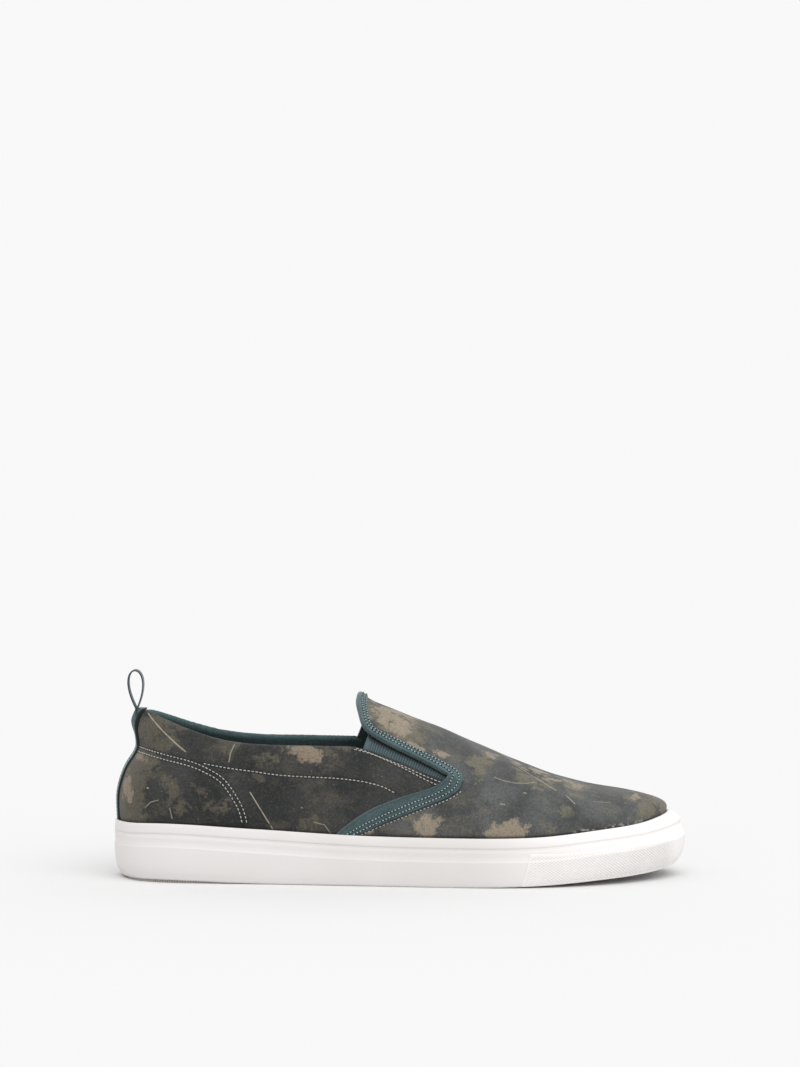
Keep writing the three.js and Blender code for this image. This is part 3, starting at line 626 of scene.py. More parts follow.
class Builder:
    """Collects points and faces and writes them as one mesh object."""

    def __init__(self, name: str) -> None:
        """Starts an empty mesh with the piece's name.

        Args:
            name: Name of the piece.
        """
        self.name = name
        self.points: list[np.ndarray] = []
        self.faces: list[np.ndarray] = []
        self.slots: list[np.ndarray] = []
        self.tones: dict[str, list[np.ndarray]] = {}
        self.count = 0

    def add(self, points: np.ndarray, faces: np.ndarray, slot: int = 0, **tones: np.ndarray) -> None:
        """Adds points in the shoe's axes with their faces, material slot and vertex values.

        Args:
            points: Points in the shoe's millimetres.
            faces: Point numbers, one row for each face.
            slot: Number of the material.
            tones: Vertex values by name, one for each point.
        """
        flat = points.reshape(-1, 3)
        self.points.append(flat)
        self.faces.append(faces + self.count)
        self.slots.append(np.full(len(faces), slot))
        for name, values in tones.items():
            self.tones.setdefault(name, []).append(np.asarray(values, float).ravel())
        self.count += len(flat)

    def grid(
        self,
        points: np.ndarray,
        slot: int = 0,
        closed: tuple[bool, bool] = (False, False),
        **tones: np.ndarray,
    ) -> None:
        """Adds a grid of points as quads, as grid_faces numbers them.

        Args:
            points: Points by column and row.
            slot: Number of the material.
            closed: Whether the columns and the rows go round.
            tones: Vertex values by name, one for each point.
        """
        self.add(points, grid_faces(points.shape[0], points.shape[1], *closed), slot, **tones)

    def finish(
        self, materials: list[bpy.types.Material], merge: float = 0.0, smooth: bool = True
    ) -> bpy.types.Object:
        """Writes the mesh.

        Args:
            materials: The finishes of its slots.
            merge: Distance in millimetres under which points are joined, or 0 for none.
            smooth: Whether faces are shaded smooth.

        Returns:
            The object, at the origin.
        """
        name = f"{self.name}_skin"
        mesh = bpy.data.meshes.new(name)
        corners = np.concatenate([f.ravel() for f in self.faces])
        sizes = np.concatenate([np.full(len(f), f.shape[1]) for f in self.faces])
        used, corners = np.unique(corners, return_inverse=True)
        points = WELD.to_frame(np.concatenate(self.points)[used])
        mesh.vertices.add(len(points))
        mesh.vertices.foreach_set("co", points.astype(np.float32).ravel())
        mesh.loops.add(len(corners))
        mesh.loops.foreach_set("vertex_index", corners.astype(np.int32))
        mesh.polygons.add(len(sizes))
        mesh.polygons.foreach_set("loop_start", (np.cumsum(sizes) - sizes).astype(np.int32))
        mesh.polygons.foreach_set("material_index", np.concatenate(self.slots).astype(np.int32))
        mesh.polygons.foreach_set("use_smooth", np.full(len(sizes), smooth))
        for name, values in self.tones.items():
            layer = mesh.attributes.new(name, "FLOAT", "POINT")
            layer.data.foreach_set("value", np.concatenate(values)[used].astype(np.float32))
        for material in materials:
            mesh.materials.append(material)
        mesh.update(calc_edges=True)
        mesh.validate()
        piece = bpy.data.objects.new(name, mesh)
        bpy.context.scene.collection.objects.link(piece)
        if merge:
            self._joined(mesh, merge * MM)
        return piece

    @staticmethod
    def _joined(mesh: bpy.types.Mesh, distance: float) -> None:
        """Joins points that lie closer than a distance in metres and drops what collapses.

        Args:
            mesh: The mesh that is changed.
            distance: Distance in metres under which points join.
        """
        soft = bmesh.new()
        soft.from_mesh(mesh)
        bmesh.ops.remove_doubles(soft, verts=soft.verts, dist=distance)
        bmesh.ops.dissolve_degenerate(soft, edges=soft.edges, dist=1e-7)
        bmesh.ops.recalc_face_normals(soft, faces=soft.faces)
        soft.to_mesh(mesh)
        soft.free()


def placed(piece: bpy.types.Object, slot: str, *nodes: str) -> bpy.types.Object:
    """Rides the shoe's one body and stands for its construction nodes.

    Args:
        piece: The finished mesh object.
        slot: Name of its material slot; not used.
        nodes: Names of the construction nodes that it replaces.

    Returns:
        The same object.
    """
    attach(piece, BODY.name)
    if nodes:
        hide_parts(*nodes)
    log.info("%s: %d faces", piece.name, len(piece.data.polygons))
    return piece


@dataclass(frozen=True)
class Scratch:
    """A fine pale mark between two points of the side view, with a bend to one side."""

    start: tuple[float, float]
    end: tuple[float, float]
    width: float = 0.45
    strength: float = 0.8
    bend: float = 0.0

    STEP = 5.5

    def line(self) -> np.ndarray:
        """The bent line's points, a few millimetres apart.

        Returns:
            The scratch's points.
        """
        a, b = np.array(self.start), np.array(self.end)
        steps = int(np.ceil(np.linalg.norm(b - a) / self.STEP)) + 1
        share = np.linspace(0, 1, max(steps, 2))[:, None]
        normal = np.array([a[1] - b[1], b[0] - a[0]]) / max(np.linalg.norm(b - a), 1e-6)
        return a + (b - a) * share + normal * self.bend * 4 * share * (1 - share)


SCRATCHES = (
    Scratch((17, 84.5), (38, 65.7), 0.5, 0.75, -0.8),
    Scratch((71, 46), (82.4, 27.5), 0.45, 0.7),
    Scratch((18, 37.5), (24.6, 41.5), 0.4, 0.5, 1.0),
    Scratch((30.5, 37.7), (31.7, 32.6), 0.4, 0.5, 0.6),
    Scratch((60.3, 61.1), (62.9, 69.5), 0.5, 0.5, 0.6),
    Scratch((103, 31.5), (111.5, 25.8), 0.35, 0.5, 1.8),
    Scratch((202, 59), (224.4, 46.1), 0.4, 0.85),
    Scratch((193.4, 53.6), (214.6, 50.1), 0.6, 0.4, -1.2),
    Scratch((229.3, 43.7), (233.5, 40.3), 0.4, 0.85),
    Scratch((277.9, 34.4), (281.6, 32), 0.4, 0.75),
    Scratch((262, 43), (265, 40), 0.35, 0.4),
    Scratch((239.2, 27.6), (266, 29.6), 0.7, 0.45, -0.4),
    Scratch((243, 40.7), (252, 39.8), 0.5, 0.35),
    Scratch((19, 47.3), (19.6, 47.2), 0.5, 0.8),
    Scratch((96.7, 38.6), (97.4, 38.4), 0.5, 0.7),
    Scratch((196, 41.4), (198, 41), 0.5, 0.5, 0.4),
    Scratch((208, 46.2), (209, 46), 0.6, 0.6),
)


Colour = tuple[float, float, float]


def linear(red: int, green: int, blue: int) -> Colour:
    """A colour seen on screen, from 0 to 255, as linear light."""
    shares = (red / 255, green / 255, blue / 255)
    return tuple(c / 12.92 if c <= 10 / 255 else ((c + 0.055) / 1.055) ** 2.4 for c in shares)


class Nodes:
    """Short hand for building one material's nodes."""

    def __init__(self, name: str) -> None:
        """Starts a material with one shader and its output.

        Args:
            name: Name of the material.
        """
        self.material = bpy.data.materials.new(name)
        self.material.use_nodes = True
        self.tree = self.material.node_tree
        self.tree.nodes.clear()
        self.shader = self.tree.nodes.new("ShaderNodeBsdfPrincipled")
        output = self.tree.nodes.new("ShaderNodeOutputMaterial")
        self.link(self.shader.outputs["BSDF"], output.inputs["Surface"])
        self.place = self.node("ShaderNodeTexCoord").outputs["Object"]

    def node(self, kind: str, **settings: object) -> bpy.types.Node:
        """Adds a node with its settings."""
        made = self.tree.nodes.new(kind)
        for key, value in settings.items():
            setattr(made, key, value)
        return made

    def link(self, source: bpy.types.NodeSocket, target: bpy.types.NodeSocket) -> None:
        """Joins two sockets."""
        self.tree.links.new(source, target)

    def value(self, name: str) -> bpy.types.NodeSocket:
        """A vertex value of the piece."""
        return self.node("ShaderNodeAttribute", attribute_name=name).outputs["Fac"]

    def noise(
        self, size: float, detail: float = 3, stretch: Colour = (1, 1, 1), rough: float = 0.55
    ) -> bpy.types.NodeSocket:
        """Noise whose blobs are about size millimetres wide, drawn out by the stretch of its axes.

        Args:
            size: Width of a blob in millimetres.
            detail: Number of finer layers.
            stretch: How far each axis is drawn out.
            rough: Strength of the finer layers.

        Returns:
            The noise from 0 to 1.
        """
        mapping = self.node("ShaderNodeMapping")
        mapping.inputs["Scale"].default_value = tuple(1 / s for s in stretch)
        self.link(self.place, mapping.inputs["Vector"])
        noise = self.node("ShaderNodeTexNoise")
        noise.inputs["Scale"].default_value = 0.5 / (size * MM)
        noise.inputs["Detail"].default_value = detail
        noise.inputs["Roughness"].default_value = rough
        self.link(mapping.outputs["Vector"], noise.inputs["Vector"])
        return noise.outputs["Fac"]

    def math(
        self, how: str, first: object, second: object = 0.5, clamp: bool = False
    ) -> bpy.types.NodeSocket:
        """Arithmetic on sockets or numbers.

        Args:
            how: The operation.
            first: Socket or number.
            second: Socket or number.
            clamp: Whether the result is kept from 0 to 1.

        Returns:
            The result.
        """
        made = self.node("ShaderNodeMath", operation=how, use_clamp=clamp)
        for socket, given in zip(made.inputs, (first, second)):
            if isinstance(given, bpy.types.NodeSocket):
                self.link(given, socket)
            else:
                socket.default_value = given
        return made.outputs[0]

    def between(self, value: bpy.types.NodeSocket, low: float, high: float) -> bpy.types.NodeSocket:
        """A smooth step of a value from 0 at low to 1 at high.

        Args:
            value: The value.
            low: Where the step begins.
            high: Where it ends.

        Returns:
            The step from 0 to 1.
        """
        made = self.node("ShaderNodeMapRange", interpolation_type="SMOOTHSTEP")
        self.link(value, made.inputs["Value"])
        made.inputs["From Min"].default_value = low
        made.inputs["From Max"].default_value = high
        return made.outputs["Result"]

    def vector(self, how: str, first: object, second: object) -> bpy.types.NodeSocket:
        """Vector arithmetic; gives the value output for a length or a dot product.

        Args:
            how: The operation.
            first: Socket or vector.
            second: Socket or vector.

        Returns:
            The result.
        """
        made = self.node("ShaderNodeVectorMath", operation=how)
        for socket, given in zip(made.inputs, (first, second)):
            if isinstance(given, bpy.types.NodeSocket):
                self.link(given, socket)
            else:
                socket.default_value = given
        return made.outputs["Value" if how in ("LENGTH", "DOT_PRODUCT") else "Vector"]

    def segment(self, start: np.ndarray, end: np.ndarray, width: float) -> bpy.types.NodeSocket:
        """1 on a segment, falling to 0 at a width in millimetres.

        Args:
            start: First end in the frame's metres.
            end: Second end.
            width: Distance at which it has faded.

        Returns:
            The value from the distance to the foot of the perpendicular.
        """
        run = end - start
        away = self.vector("SUBTRACT", self.place, tuple(start))
        share = self.math("ADD", self.vector("DOT_PRODUCT", away, tuple(run / (run @ run))), 0.0, True)
        foot = self.node("ShaderNodeVectorMath", operation="SCALE")
        foot.inputs[0].default_value = tuple(run)
        self.link(share, foot.inputs["Scale"])
        distance = self.vector("LENGTH", self.vector("SUBTRACT", away, foot.outputs["Vector"]), (0, 0, 0))
        return self.between(distance, width * MM, 0.25 * width * MM)

    def mix(self, share: object, first: object, second: object, blend: str = "MIX") -> bpy.types.NodeSocket:
        """A blend of two colours, each a socket or a linear colour.

        Args:
            share: Part of the second colour.
            first: Socket or colour.
            second: Socket or colour.
            blend: Way of blending.

        Returns:
            The colour.
        """
        made = self.node("ShaderNodeMix", data_type="RGBA", blend_type=blend)
        for socket, given in zip((made.inputs[0], made.inputs[6], made.inputs[7]), (share, first, second)):
            if isinstance(given, bpy.types.NodeSocket):
                self.link(given, socket)
            elif isinstance(given, tuple):
                socket.default_value = (*given, 1)
            else:
                socket.default_value = given
        return made.outputs[2]

    def colour(self, source: bpy.types.NodeSocket) -> None:
        """Sets the base colour."""
        self.link(source, self.shader.inputs["Base Color"])

    def roughness(self, source: bpy.types.NodeSocket) -> None:
        """Sets the roughness."""
        self.link(source, self.shader.inputs["Roughness"])

    def bump(self, height: bpy.types.NodeSocket, distance: float, strength: float = 1.0) -> None:
        """Bump of a height from 0 to 1, over a distance in millimetres, on top of any earlier bump.

        Args:
            height: Height from 0 to 1.
            distance: Height in millimetres at 1.
            strength: Share of the bump that is used.
        """
        made = self.node("ShaderNodeBump")
        made.inputs["Distance"].default_value = distance * MM
        made.inputs["Strength"].default_value = strength
        self.link(height, made.inputs["Height"])
        before = self.shader.inputs["Normal"].links
        if before:
            self.link(before[0].from_socket, made.inputs["Normal"])
        self.link(made.outputs["Normal"], self.shader.inputs["Normal"])

    def constants(self, **values: float) -> None:
        """Sets numbers on the shader's own sockets; an underscore stands for a space."""
        for name, value in values.items():
            self.shader.inputs[name.replace("_", " ")].default_value = value


@dataclass(frozen=True)
class PanelTones:
    """The cloth's colours in one part of the upper; the quarter's darker set is painted shade of its upright
    side.
    """

    low: Colour
    high: Colour
    khaki: Colour
    tan: Colour


@dataclass(frozen=True)
class MottledCloth:
    """Brushed dark cloth with washed khaki clouds, tan patches, fine specks and pale scratches, with painted
    shade: darker tones on the quarter and near-black lines along sewn lines and edges.
    """

    vamp: PanelTones = PanelTones(
        linear(60, 62, 63), linear(88, 90, 91), linear(114, 109, 92), linear(158, 145, 126)
    )
    # The quarter's tones are darker than the vamp's: painted shade of the upright quarter.
    quarter: PanelTones = PanelTones(
        linear(36, 38, 39), linear(57, 58, 57), linear(92, 87, 74), linear(146, 131, 114)
    )
    scratch: Colour = linear(176, 168, 150)
    speck: Colour = linear(150, 146, 132)
    sheen: float = 0.1

    def build(self) -> bpy.types.Material:
        """Clouds are vertex values broken up by noise; grain, weave and nap are bump.

        Returns:
            The material.
        """
        n = Nodes("mottled_cloth")
        # This vertex value picks the quarter's darker tones, which paint shade.
        quarter_shade = n.value("quarter_shade")
        low, high, khaki, tan = (
            n.mix(quarter_shade, getattr(self.vamp, tone), getattr(self.quarter, tone))
            for tone in ("low", "high", "khaki", "tan")
        )
        base = n.mix(n.between(n.noise(13, 5), 0.38, 0.62), low, high)
        coarse = n.math("SUBTRACT", n.noise(5, 7, rough=0.74), 0.5)
        fine = n.math("SUBTRACT", n.noise(2.6, 5, rough=0.72), 0.5)
        frayed = n.math("ADD", n.math("MULTIPLY", coarse, 2.1), n.math("MULTIPLY", fine, 1.0))
        wisps = n.between(n.noise(10, 7, (1.5, 1, 0.8), 0.72), 0.5, 0.66)
        base = n.mix(n.math("MULTIPLY", wisps, 0.5), base, khaki)
        cloud = n.between(n.math("ADD", n.value("khaki"), frayed), 0.27, 0.56)
        base = n.mix(n.math("MULTIPLY", cloud, 0.85), base, khaki)
        patch = n.between(n.math("ADD", n.value("tan"), frayed), 0.36, 0.6)
        base = n.mix(n.math("MULTIPLY", patch, 0.85), base, tan)
        deep = n.between(n.math("ADD", n.value("deep"), frayed), 0.3, 0.7)
        base = n.mix(n.math("MULTIPLY", deep, 0.7), base, low)
        grain = n.noise(0.5, 3, rough=0.75)
        base = n.mix(n.between(grain, 0.42, 0.66), base, n.mix(0.5, base, low))
        base = n.mix(n.math("MULTIPLY", n.between(grain, 0.5, 0.34), 0.3), base, khaki)
        specks = n.between(n.noise(0.8, 2, rough=0.6), 0.67, 0.76)
        base = n.mix(n.math("MULTIPLY", specks, 0.3), base, self.speck)
        base = n.mix(self._marks(n), base, self.scratch)
        # Near-black painted shade by a vertex value: along sewn lines, at the opening's rolled edge and just
        # above the sole's lip.
        base = n.mix(n.value("seam"), base, linear(20, 21, 22))
        flakes = n.math("MULTIPLY", n.value("flake"), n.between(n.noise(1.1, 4, (2.0, 1, 1)), 0.5, 0.66))
        base = n.mix(flakes, base, linear(200, 198, 192))
        n.colour(base)
        n.constants(Sheen_Weight=self.sheen, Sheen_Roughness=0.5, Specular_IOR_Level=0.22, Roughness=0.74)
        n.bump(grain, 0.2, 0.9)
        n.bump(n.noise(2.6, 3), 0.25, 0.7)
        return n.material

    @staticmethod
    def _marks(n: Nodes) -> bpy.types.NodeSocket:
        """Scratches of the outer side: the strongest of all segments, worn through in places.

        Args:
            n: The material's nodes.

        Returns:
            The strength of the marks, 0 away from them.
        """
        marks = None
        for scratch in SCRATCHES:
            place = LAST.find(scratch.line(), False)
            relief = Upper().relief(LAST.sample(LAST.face, place)[:, None])[:, 0]
            line = WELD.to_frame(LAST.off(place, relief))
            for start, end in zip(line[:-1], line[1:]):
                made = n.math("MULTIPLY", n.segment(start, end, scratch.width), scratch.strength)
                marks = made if marks is None else n.math("MAXIMUM", marks, made)
        worn = n.between(n.noise(1.6, 3), 0.25, 0.5)
        return n.math("MULTIPLY", marks, worn)


class Moulding(Enum):
    """Which part of the rubber a finish is for."""

    SOLE = "sole_rubber"
    TREAD = "shaded_tread_rubber"
    TOE = "toe_rubber"


@dataclass(frozen=True)
class OffWhiteRubber:
    """Moulded off-white rubber, matte, darkened by a vertex value: in the wall's groove and along its bottom
    edge, and as painted shade in the toe's rib valleys and on the underside and its teeth.
    """

    part: Moulding = Moulding.SOLE
    face: Colour = linear(223, 220, 219)
    warm: Colour = linear(219, 215, 212)
    # Darker tone for grooves, rib valleys, underside and teeth; in the valleys and on the underside and
    # teeth it is painted shade.
    dirt: Colour = linear(176, 172, 164)
    toe: Colour = linear(240, 237, 236)
    toe_span: tuple[float, float] = (0.03, 0.1)

    def build(self) -> bpy.types.Material:
        """Tint by broad noise, darkening by the vertex value, and a fine moulded grain as bump.

        Returns:
            The material.
        """
        n = Nodes(self.part.value)
        base = n.mix(n.between(n.noise(40, 2), 0.35, 0.65), self.face, self.warm)
        apart = n.node("ShaderNodeSeparateXYZ")
        n.link(n.place, apart.inputs[0])
        base = n.mix(n.between(apart.outputs["X"], *self.toe_span), base, self.toe)
        # Darkening by the vertex value, partly painted shade, broken up by noise.
        darkening = n.math("MULTIPLY", n.value("dirt"), n.between(n.noise(5, 4), 0.1, 0.6))
        base = n.mix(darkening, base, self.dirt)
        n.colour(base)
        n.constants(Roughness=0.52, Specular_IOR_Level=0.35, Sheen_Weight=0.0)
        n.bump(n.noise(0.7, 3), 0.05, 0.6)
        n.bump(n.noise(14, 2), 0.12, 0.5)
        return n.material


@dataclass(frozen=True)
class WovenTape:
    """Teal cloth tape with a fine close weave and worn high places."""

    name: str = "woven_tape"
    deep: Colour = linear(48, 68, 70)
    face: Colour = linear(82, 104, 108)
    fine: float = 0.34

    def build(self) -> bpy.types.Material:
        """Weave as crossed noise; the face is paler where the tape is rubbed.

        Returns:
            The material.
        """
        n = Nodes(self.name)
        weave = n.noise(self.fine, 2, rough=0.6)
        rubbed = n.between(n.noise(6, 4), 0.35, 0.7)
        base = n.mix(n.between(weave, 0.3, 0.7), self.deep, self.face)
        base = n.mix(n.math("MULTIPLY", rubbed, 0.25), base, linear(112, 130, 132))
        # Near black by a vertex value: painted shade on the tape and stay where they fold, tuck and meet the
        # cloth, and the loop's own dark specks.
        base = n.mix(n.value("seam"), base, linear(14, 20, 22))
        n.colour(base)
        n.constants(Roughness=0.78, Sheen_Weight=0.35, Sheen_Roughness=0.45, Specular_IOR_Level=0.25)
        n.bump(weave, 0.12, 0.8)
        return n.material


@dataclass(frozen=True)
class Elastic:
    """Teal elastic: its ribs are in the mesh, and their valleys are darker as painted shade."""

    crest: Colour = linear(82, 103, 109)
    valley_shade: Colour = linear(46, 62, 66)

    def build(self) -> bpy.types.Material:
        """Colour by the rib's height, darker in the valleys as painted shade, and a fine weave.

        Returns:
            The material.
        """
        n = Nodes("ribbed_elastic")
        weave = n.noise(0.4, 2)
        base = n.mix(n.value("rib"), self.valley_shade, self.crest)
        base = n.mix(n.math("MULTIPLY", n.between(weave, 0.3, 0.7), 0.35), base, self.valley_shade)
        # Near black where the elastic runs under the tape: painted shade.
        base = n.mix(n.value("seam"), base, linear(8, 11, 12))
        n.colour(base)
        n.constants(Roughness=0.7, Sheen_Weight=0.3, Sheen_Roughness=0.5, Specular_IOR_Level=0.3)
        n.bump(weave, 0.08, 0.7)
        return n.material


@dataclass(frozen=True)
class LiningCloth:
    """Lining: teal at the collar's mouth and near black further in, where the black is painted shade."""

    mouth: Colour = linear(70, 92, 94)
    # Near black of the deeper lining: painted shade of the shoe's inside.
    inside: Colour = linear(16, 17, 19)

    def build(self) -> bpy.types.Material:
        """The vertex value of depth turns teal to black, painted shade of the inside, over a knitted grain.

        Returns:
            The material.
        """
        n = Nodes("lining_cloth")
        grain = n.noise(0.5, 2)
        base = n.mix(n.value("depth"), self.mouth, self.inside)
        base = n.mix(n.math("MULTIPLY", n.between(grain, 0.3, 0.7), 0.4), base, self.inside)
        n.colour(base)
        n.constants(Roughness=0.9, Sheen_Weight=0.15, Sheen_Roughness=0.6, Specular_IOR_Level=0.2)
        n.bump(grain, 0.12, 0.7)
        return n.material


@dataclass(frozen=True)
class Thread:
    """Twisted sewing thread."""

    name: str
    colour: Colour

    def build(self) -> bpy.types.Material:
        """A plain tint with a twist as fine bump.

        Returns:
            The material.
        """
        n = Nodes(self.name)
        shade = tuple(c * 0.7 for c in self.colour)
        n.colour(n.mix(n.between(n.noise(0.6, 2), 0.3, 0.7), self.colour, shade))
        n.constants(Roughness=0.6, Sheen_Weight=0.2, Specular_IOR_Level=0.4)
        n.bump(n.noise(0.25, 1), 0.05, 0.6)
        return n.material


class Finishes:
    """The finishes of the shoe, each built once."""

    def __init__(self) -> None:
        """Builds every material."""
        self.cloth = MottledCloth().build()
        self.rubber = OffWhiteRubber().build()
        self.toe_rubber = OffWhiteRubber(Moulding.TOE, linear(243, 240, 239), linear(241, 237, 235)).build()
        # The underside's finish is a little darker than the wall's: painted shade of the underside.
        self.shaded_tread = OffWhiteRubber(Moulding.TREAD, linear(214, 209, 202), linear(206, 200, 191)).build()
        self.tape = WovenTape().build()
        self.loop = WovenTape("loop_tape", linear(26, 38, 40), linear(70, 88, 90), 0.7).build()
        self.elastic = Elastic().build()
        self.lining = LiningCloth().build()
        self.insole = WovenTape("insole_fabric", linear(24, 25, 27), linear(44, 45, 48), 0.8).build()
        self.pale_thread = Thread("pale_thread", linear(188, 188, 182)).build()
        self.teal_thread = Thread("teal_thread", linear(176, 194, 196)).build()
        # Near-black beads between the stitches: painted shade of the needle holes.
        self.hole_shade = Thread("needle_hole_shade", linear(10, 13, 14)).build()


@dataclass(frozen=True)
class Cloud:
    """A soft patch of colour seen from the side, in millimetres; turn is in degrees, nose up."""

    x: float
    z: float
    long: float
    tall: float
    turn: float
    strength: float

    SPREAD = 1.3

    def over(self, x: np.ndarray, z: np.ndarray) -> np.ndarray:
        """Bell of the distance from the middle, measured in the patch's own half sizes."""
        c, s = math.cos(math.radians(self.turn)), math.sin(math.radians(self.turn))
        u = ((x - self.x) * c + (z - self.z) * s) / self.long / self.SPREAD
        v = ((z - self.z) * c - (x - self.x) * s) / self.tall / self.SPREAD
        return self.strength * np.exp(-((u * u + v * v) ** 1.3))


KHAKI_CLOUDS = (
    Cloud(9, 48, 7, 22, 8, 0.95), Cloud(16, 61, 7, 5, 0, 0.9), Cloud(24, 76, 11, 9, -20, 0.7),
    Cloud(31, 47, 6, 8, 0, 0.5), Cloud(37, 38, 5, 6, 0, 0.5), Cloud(55, 39, 7, 4, 0, 0.45),
    Cloud(62, 67, 9, 5, 50, 0.4), Cloud(79, 62, 7, 5, 0, 0.45), Cloud(112, 67, 8, 3.5, 0, 0.6),
    Cloud(100, 31, 9, 5, 10, 0.5), Cloud(75, 53, 3, 3, 0, 0.45), Cloud(107, 51, 3, 3, 0, 0.45),
    Cloud(146, 79, 15, 8, -32, 0.8), Cloud(188, 61, 8, 4, -10, 0.6), Cloud(186, 57, 4, 5, 0, 0.5),
    Cloud(236, 47, 8, 3, -14, 0.55), Cloud(228, 37, 4, 3, 0, 0.5), Cloud(222, 30, 7, 3.5, 0, 0.4),
    Cloud(271, 35, 5, 4, -20, 0.75), Cloud(279, 37, 9, 3, -40, 0.6), Cloud(262, 41, 9, 2.5, -20, 0.4),
    Cloud(151, 36, 8, 4, -20, 0.5), Cloud(214, 52, 12, 4, -18, 0.5), Cloud(48, 44, 10, 8, 0, 0.3),
)

TAN_CLOUDS = (
    Cloud(99, 66, 8, 4.5, -12, 0.8), Cloud(142, 81, 11, 6, -34, 0.7), Cloud(134, 89, 5, 1.8, -32, 0.65),
    Cloud(148, 82, 9, 2, -25, 0.6), Cloud(164, 74.5, 6, 1.4, -28, 0.65),
    Cloud(154, 68, 6, 1.6, -30, 0.6), Cloud(168, 64, 5, 1.4, -20, 0.55), Cloud(192, 62, 4, 2, -10, 0.5),
    Cloud(217, 54, 12, 2.6, -20, 0.6), Cloud(199, 28, 9, 5.5, 0, 0.85), Cloud(160, 29, 7, 6, -35, 0.75),
    Cloud(129, 28, 4, 3, 0, 0.6), Cloud(9, 46, 3.5, 10, 6, 0.62), Cloud(15, 61, 3.5, 2.6, 0, 0.6),
    Cloud(266, 41, 2.5, 1.6, 0, 0.6), Cloud(236, 47, 3, 1.2, -14, 0.5),
)

DEEP_CLOUDS = (
    Cloud(167, 73, 13, 5, -28, 0.7), Cloud(197, 56, 7, 4, -20, 0.6), Cloud(120, 42, 24, 10, 0, 0.4),
    Cloud(182, 42, 16, 10, 0, 0.4), Cloud(52, 56, 16, 6, -14, 0.5), Cloud(232, 33, 14, 5, 0, 0.4),
    Cloud(255, 33, 12, 4, 0, 0.4), Cloud(85, 45, 12, 8, 0, 0.4),
)


# Side-view line between vamp and quarter; behind it the cloth takes the quarter's darker tones, which are
# painted shade.
QUARTER_SHADE_SPLIT = np.array(
    [(112, 22), (117, 24), (129, 31), (137, 35.5), (146, 39.7), (158, 44.4), (168, 48), (172, 51), (170, 54)]
    + [(158, 60), (136, 68), (130, 72), (124, 100)]
)


@dataclass(frozen=True)
class Crease:
    """A soft trough or, with a negative depth, a soft ridge of the cloth along a side-view line."""

    start: tuple[float, float]
    end: tuple[float, float]
    width: float
    depth: float

    def over(self, points: np.ndarray) -> np.ndarray:
        """Inward movement: the depth times a bell of the distance from the line."""
        line = np.array([self.start, self.end])
        return self.depth * np.exp(-((line_distance(points, line) / self.width) ** 2))


CREASES = (
    Crease((28, 62), (34, 34), 4, 0.35),
    Crease((84, 50), (112, 44), 5, 0.4),
    Crease((70, 38), (104, 33), 4, -0.3),
    Crease((186, 50), (212, 42), 5, 0.35),
    Crease((214, 46), (246, 36), 6, -0.35),
    Crease((178, 66), (204, 50), 5, 0.3),
    Crease((228, 40), (262, 33), 4, 0.3),
    Crease((150, 60), (170, 66), 4, -0.2),
)


class Opening:
    """Collar, side notches and throat, seen from the side."""

    SKY = 1.6

    def __init__(self) -> None:
        """Draws the opening's outline and its cloth edges."""
        self.collar = side_line(COLLAR_EDGE, 40)
        self.notch = side_line(NOTCH_EDGE, 60)
        self.tongue = side_line(TONGUE_EDGE, 60)
        self.edge = np.vstack([self.collar, self.notch, self.tongue])
        sky = self.SKY * SHOE.upper_height
        self.outline = np.vstack([self.edge, [[self.tongue[-1, 0], sky], [self.collar[0, 0], sky]]])

    def distance(self, points: np.ndarray) -> np.ndarray:
        """Distance to the edge, positive on the cloth and negative in the opening."""
        flat = points.reshape(-1, 2)
        away = line_distance(flat, self.edge)
        return np.where(inside_outline(flat, self.outline), -away, away).reshape(points.shape[:-1])


OPENING = Opening()


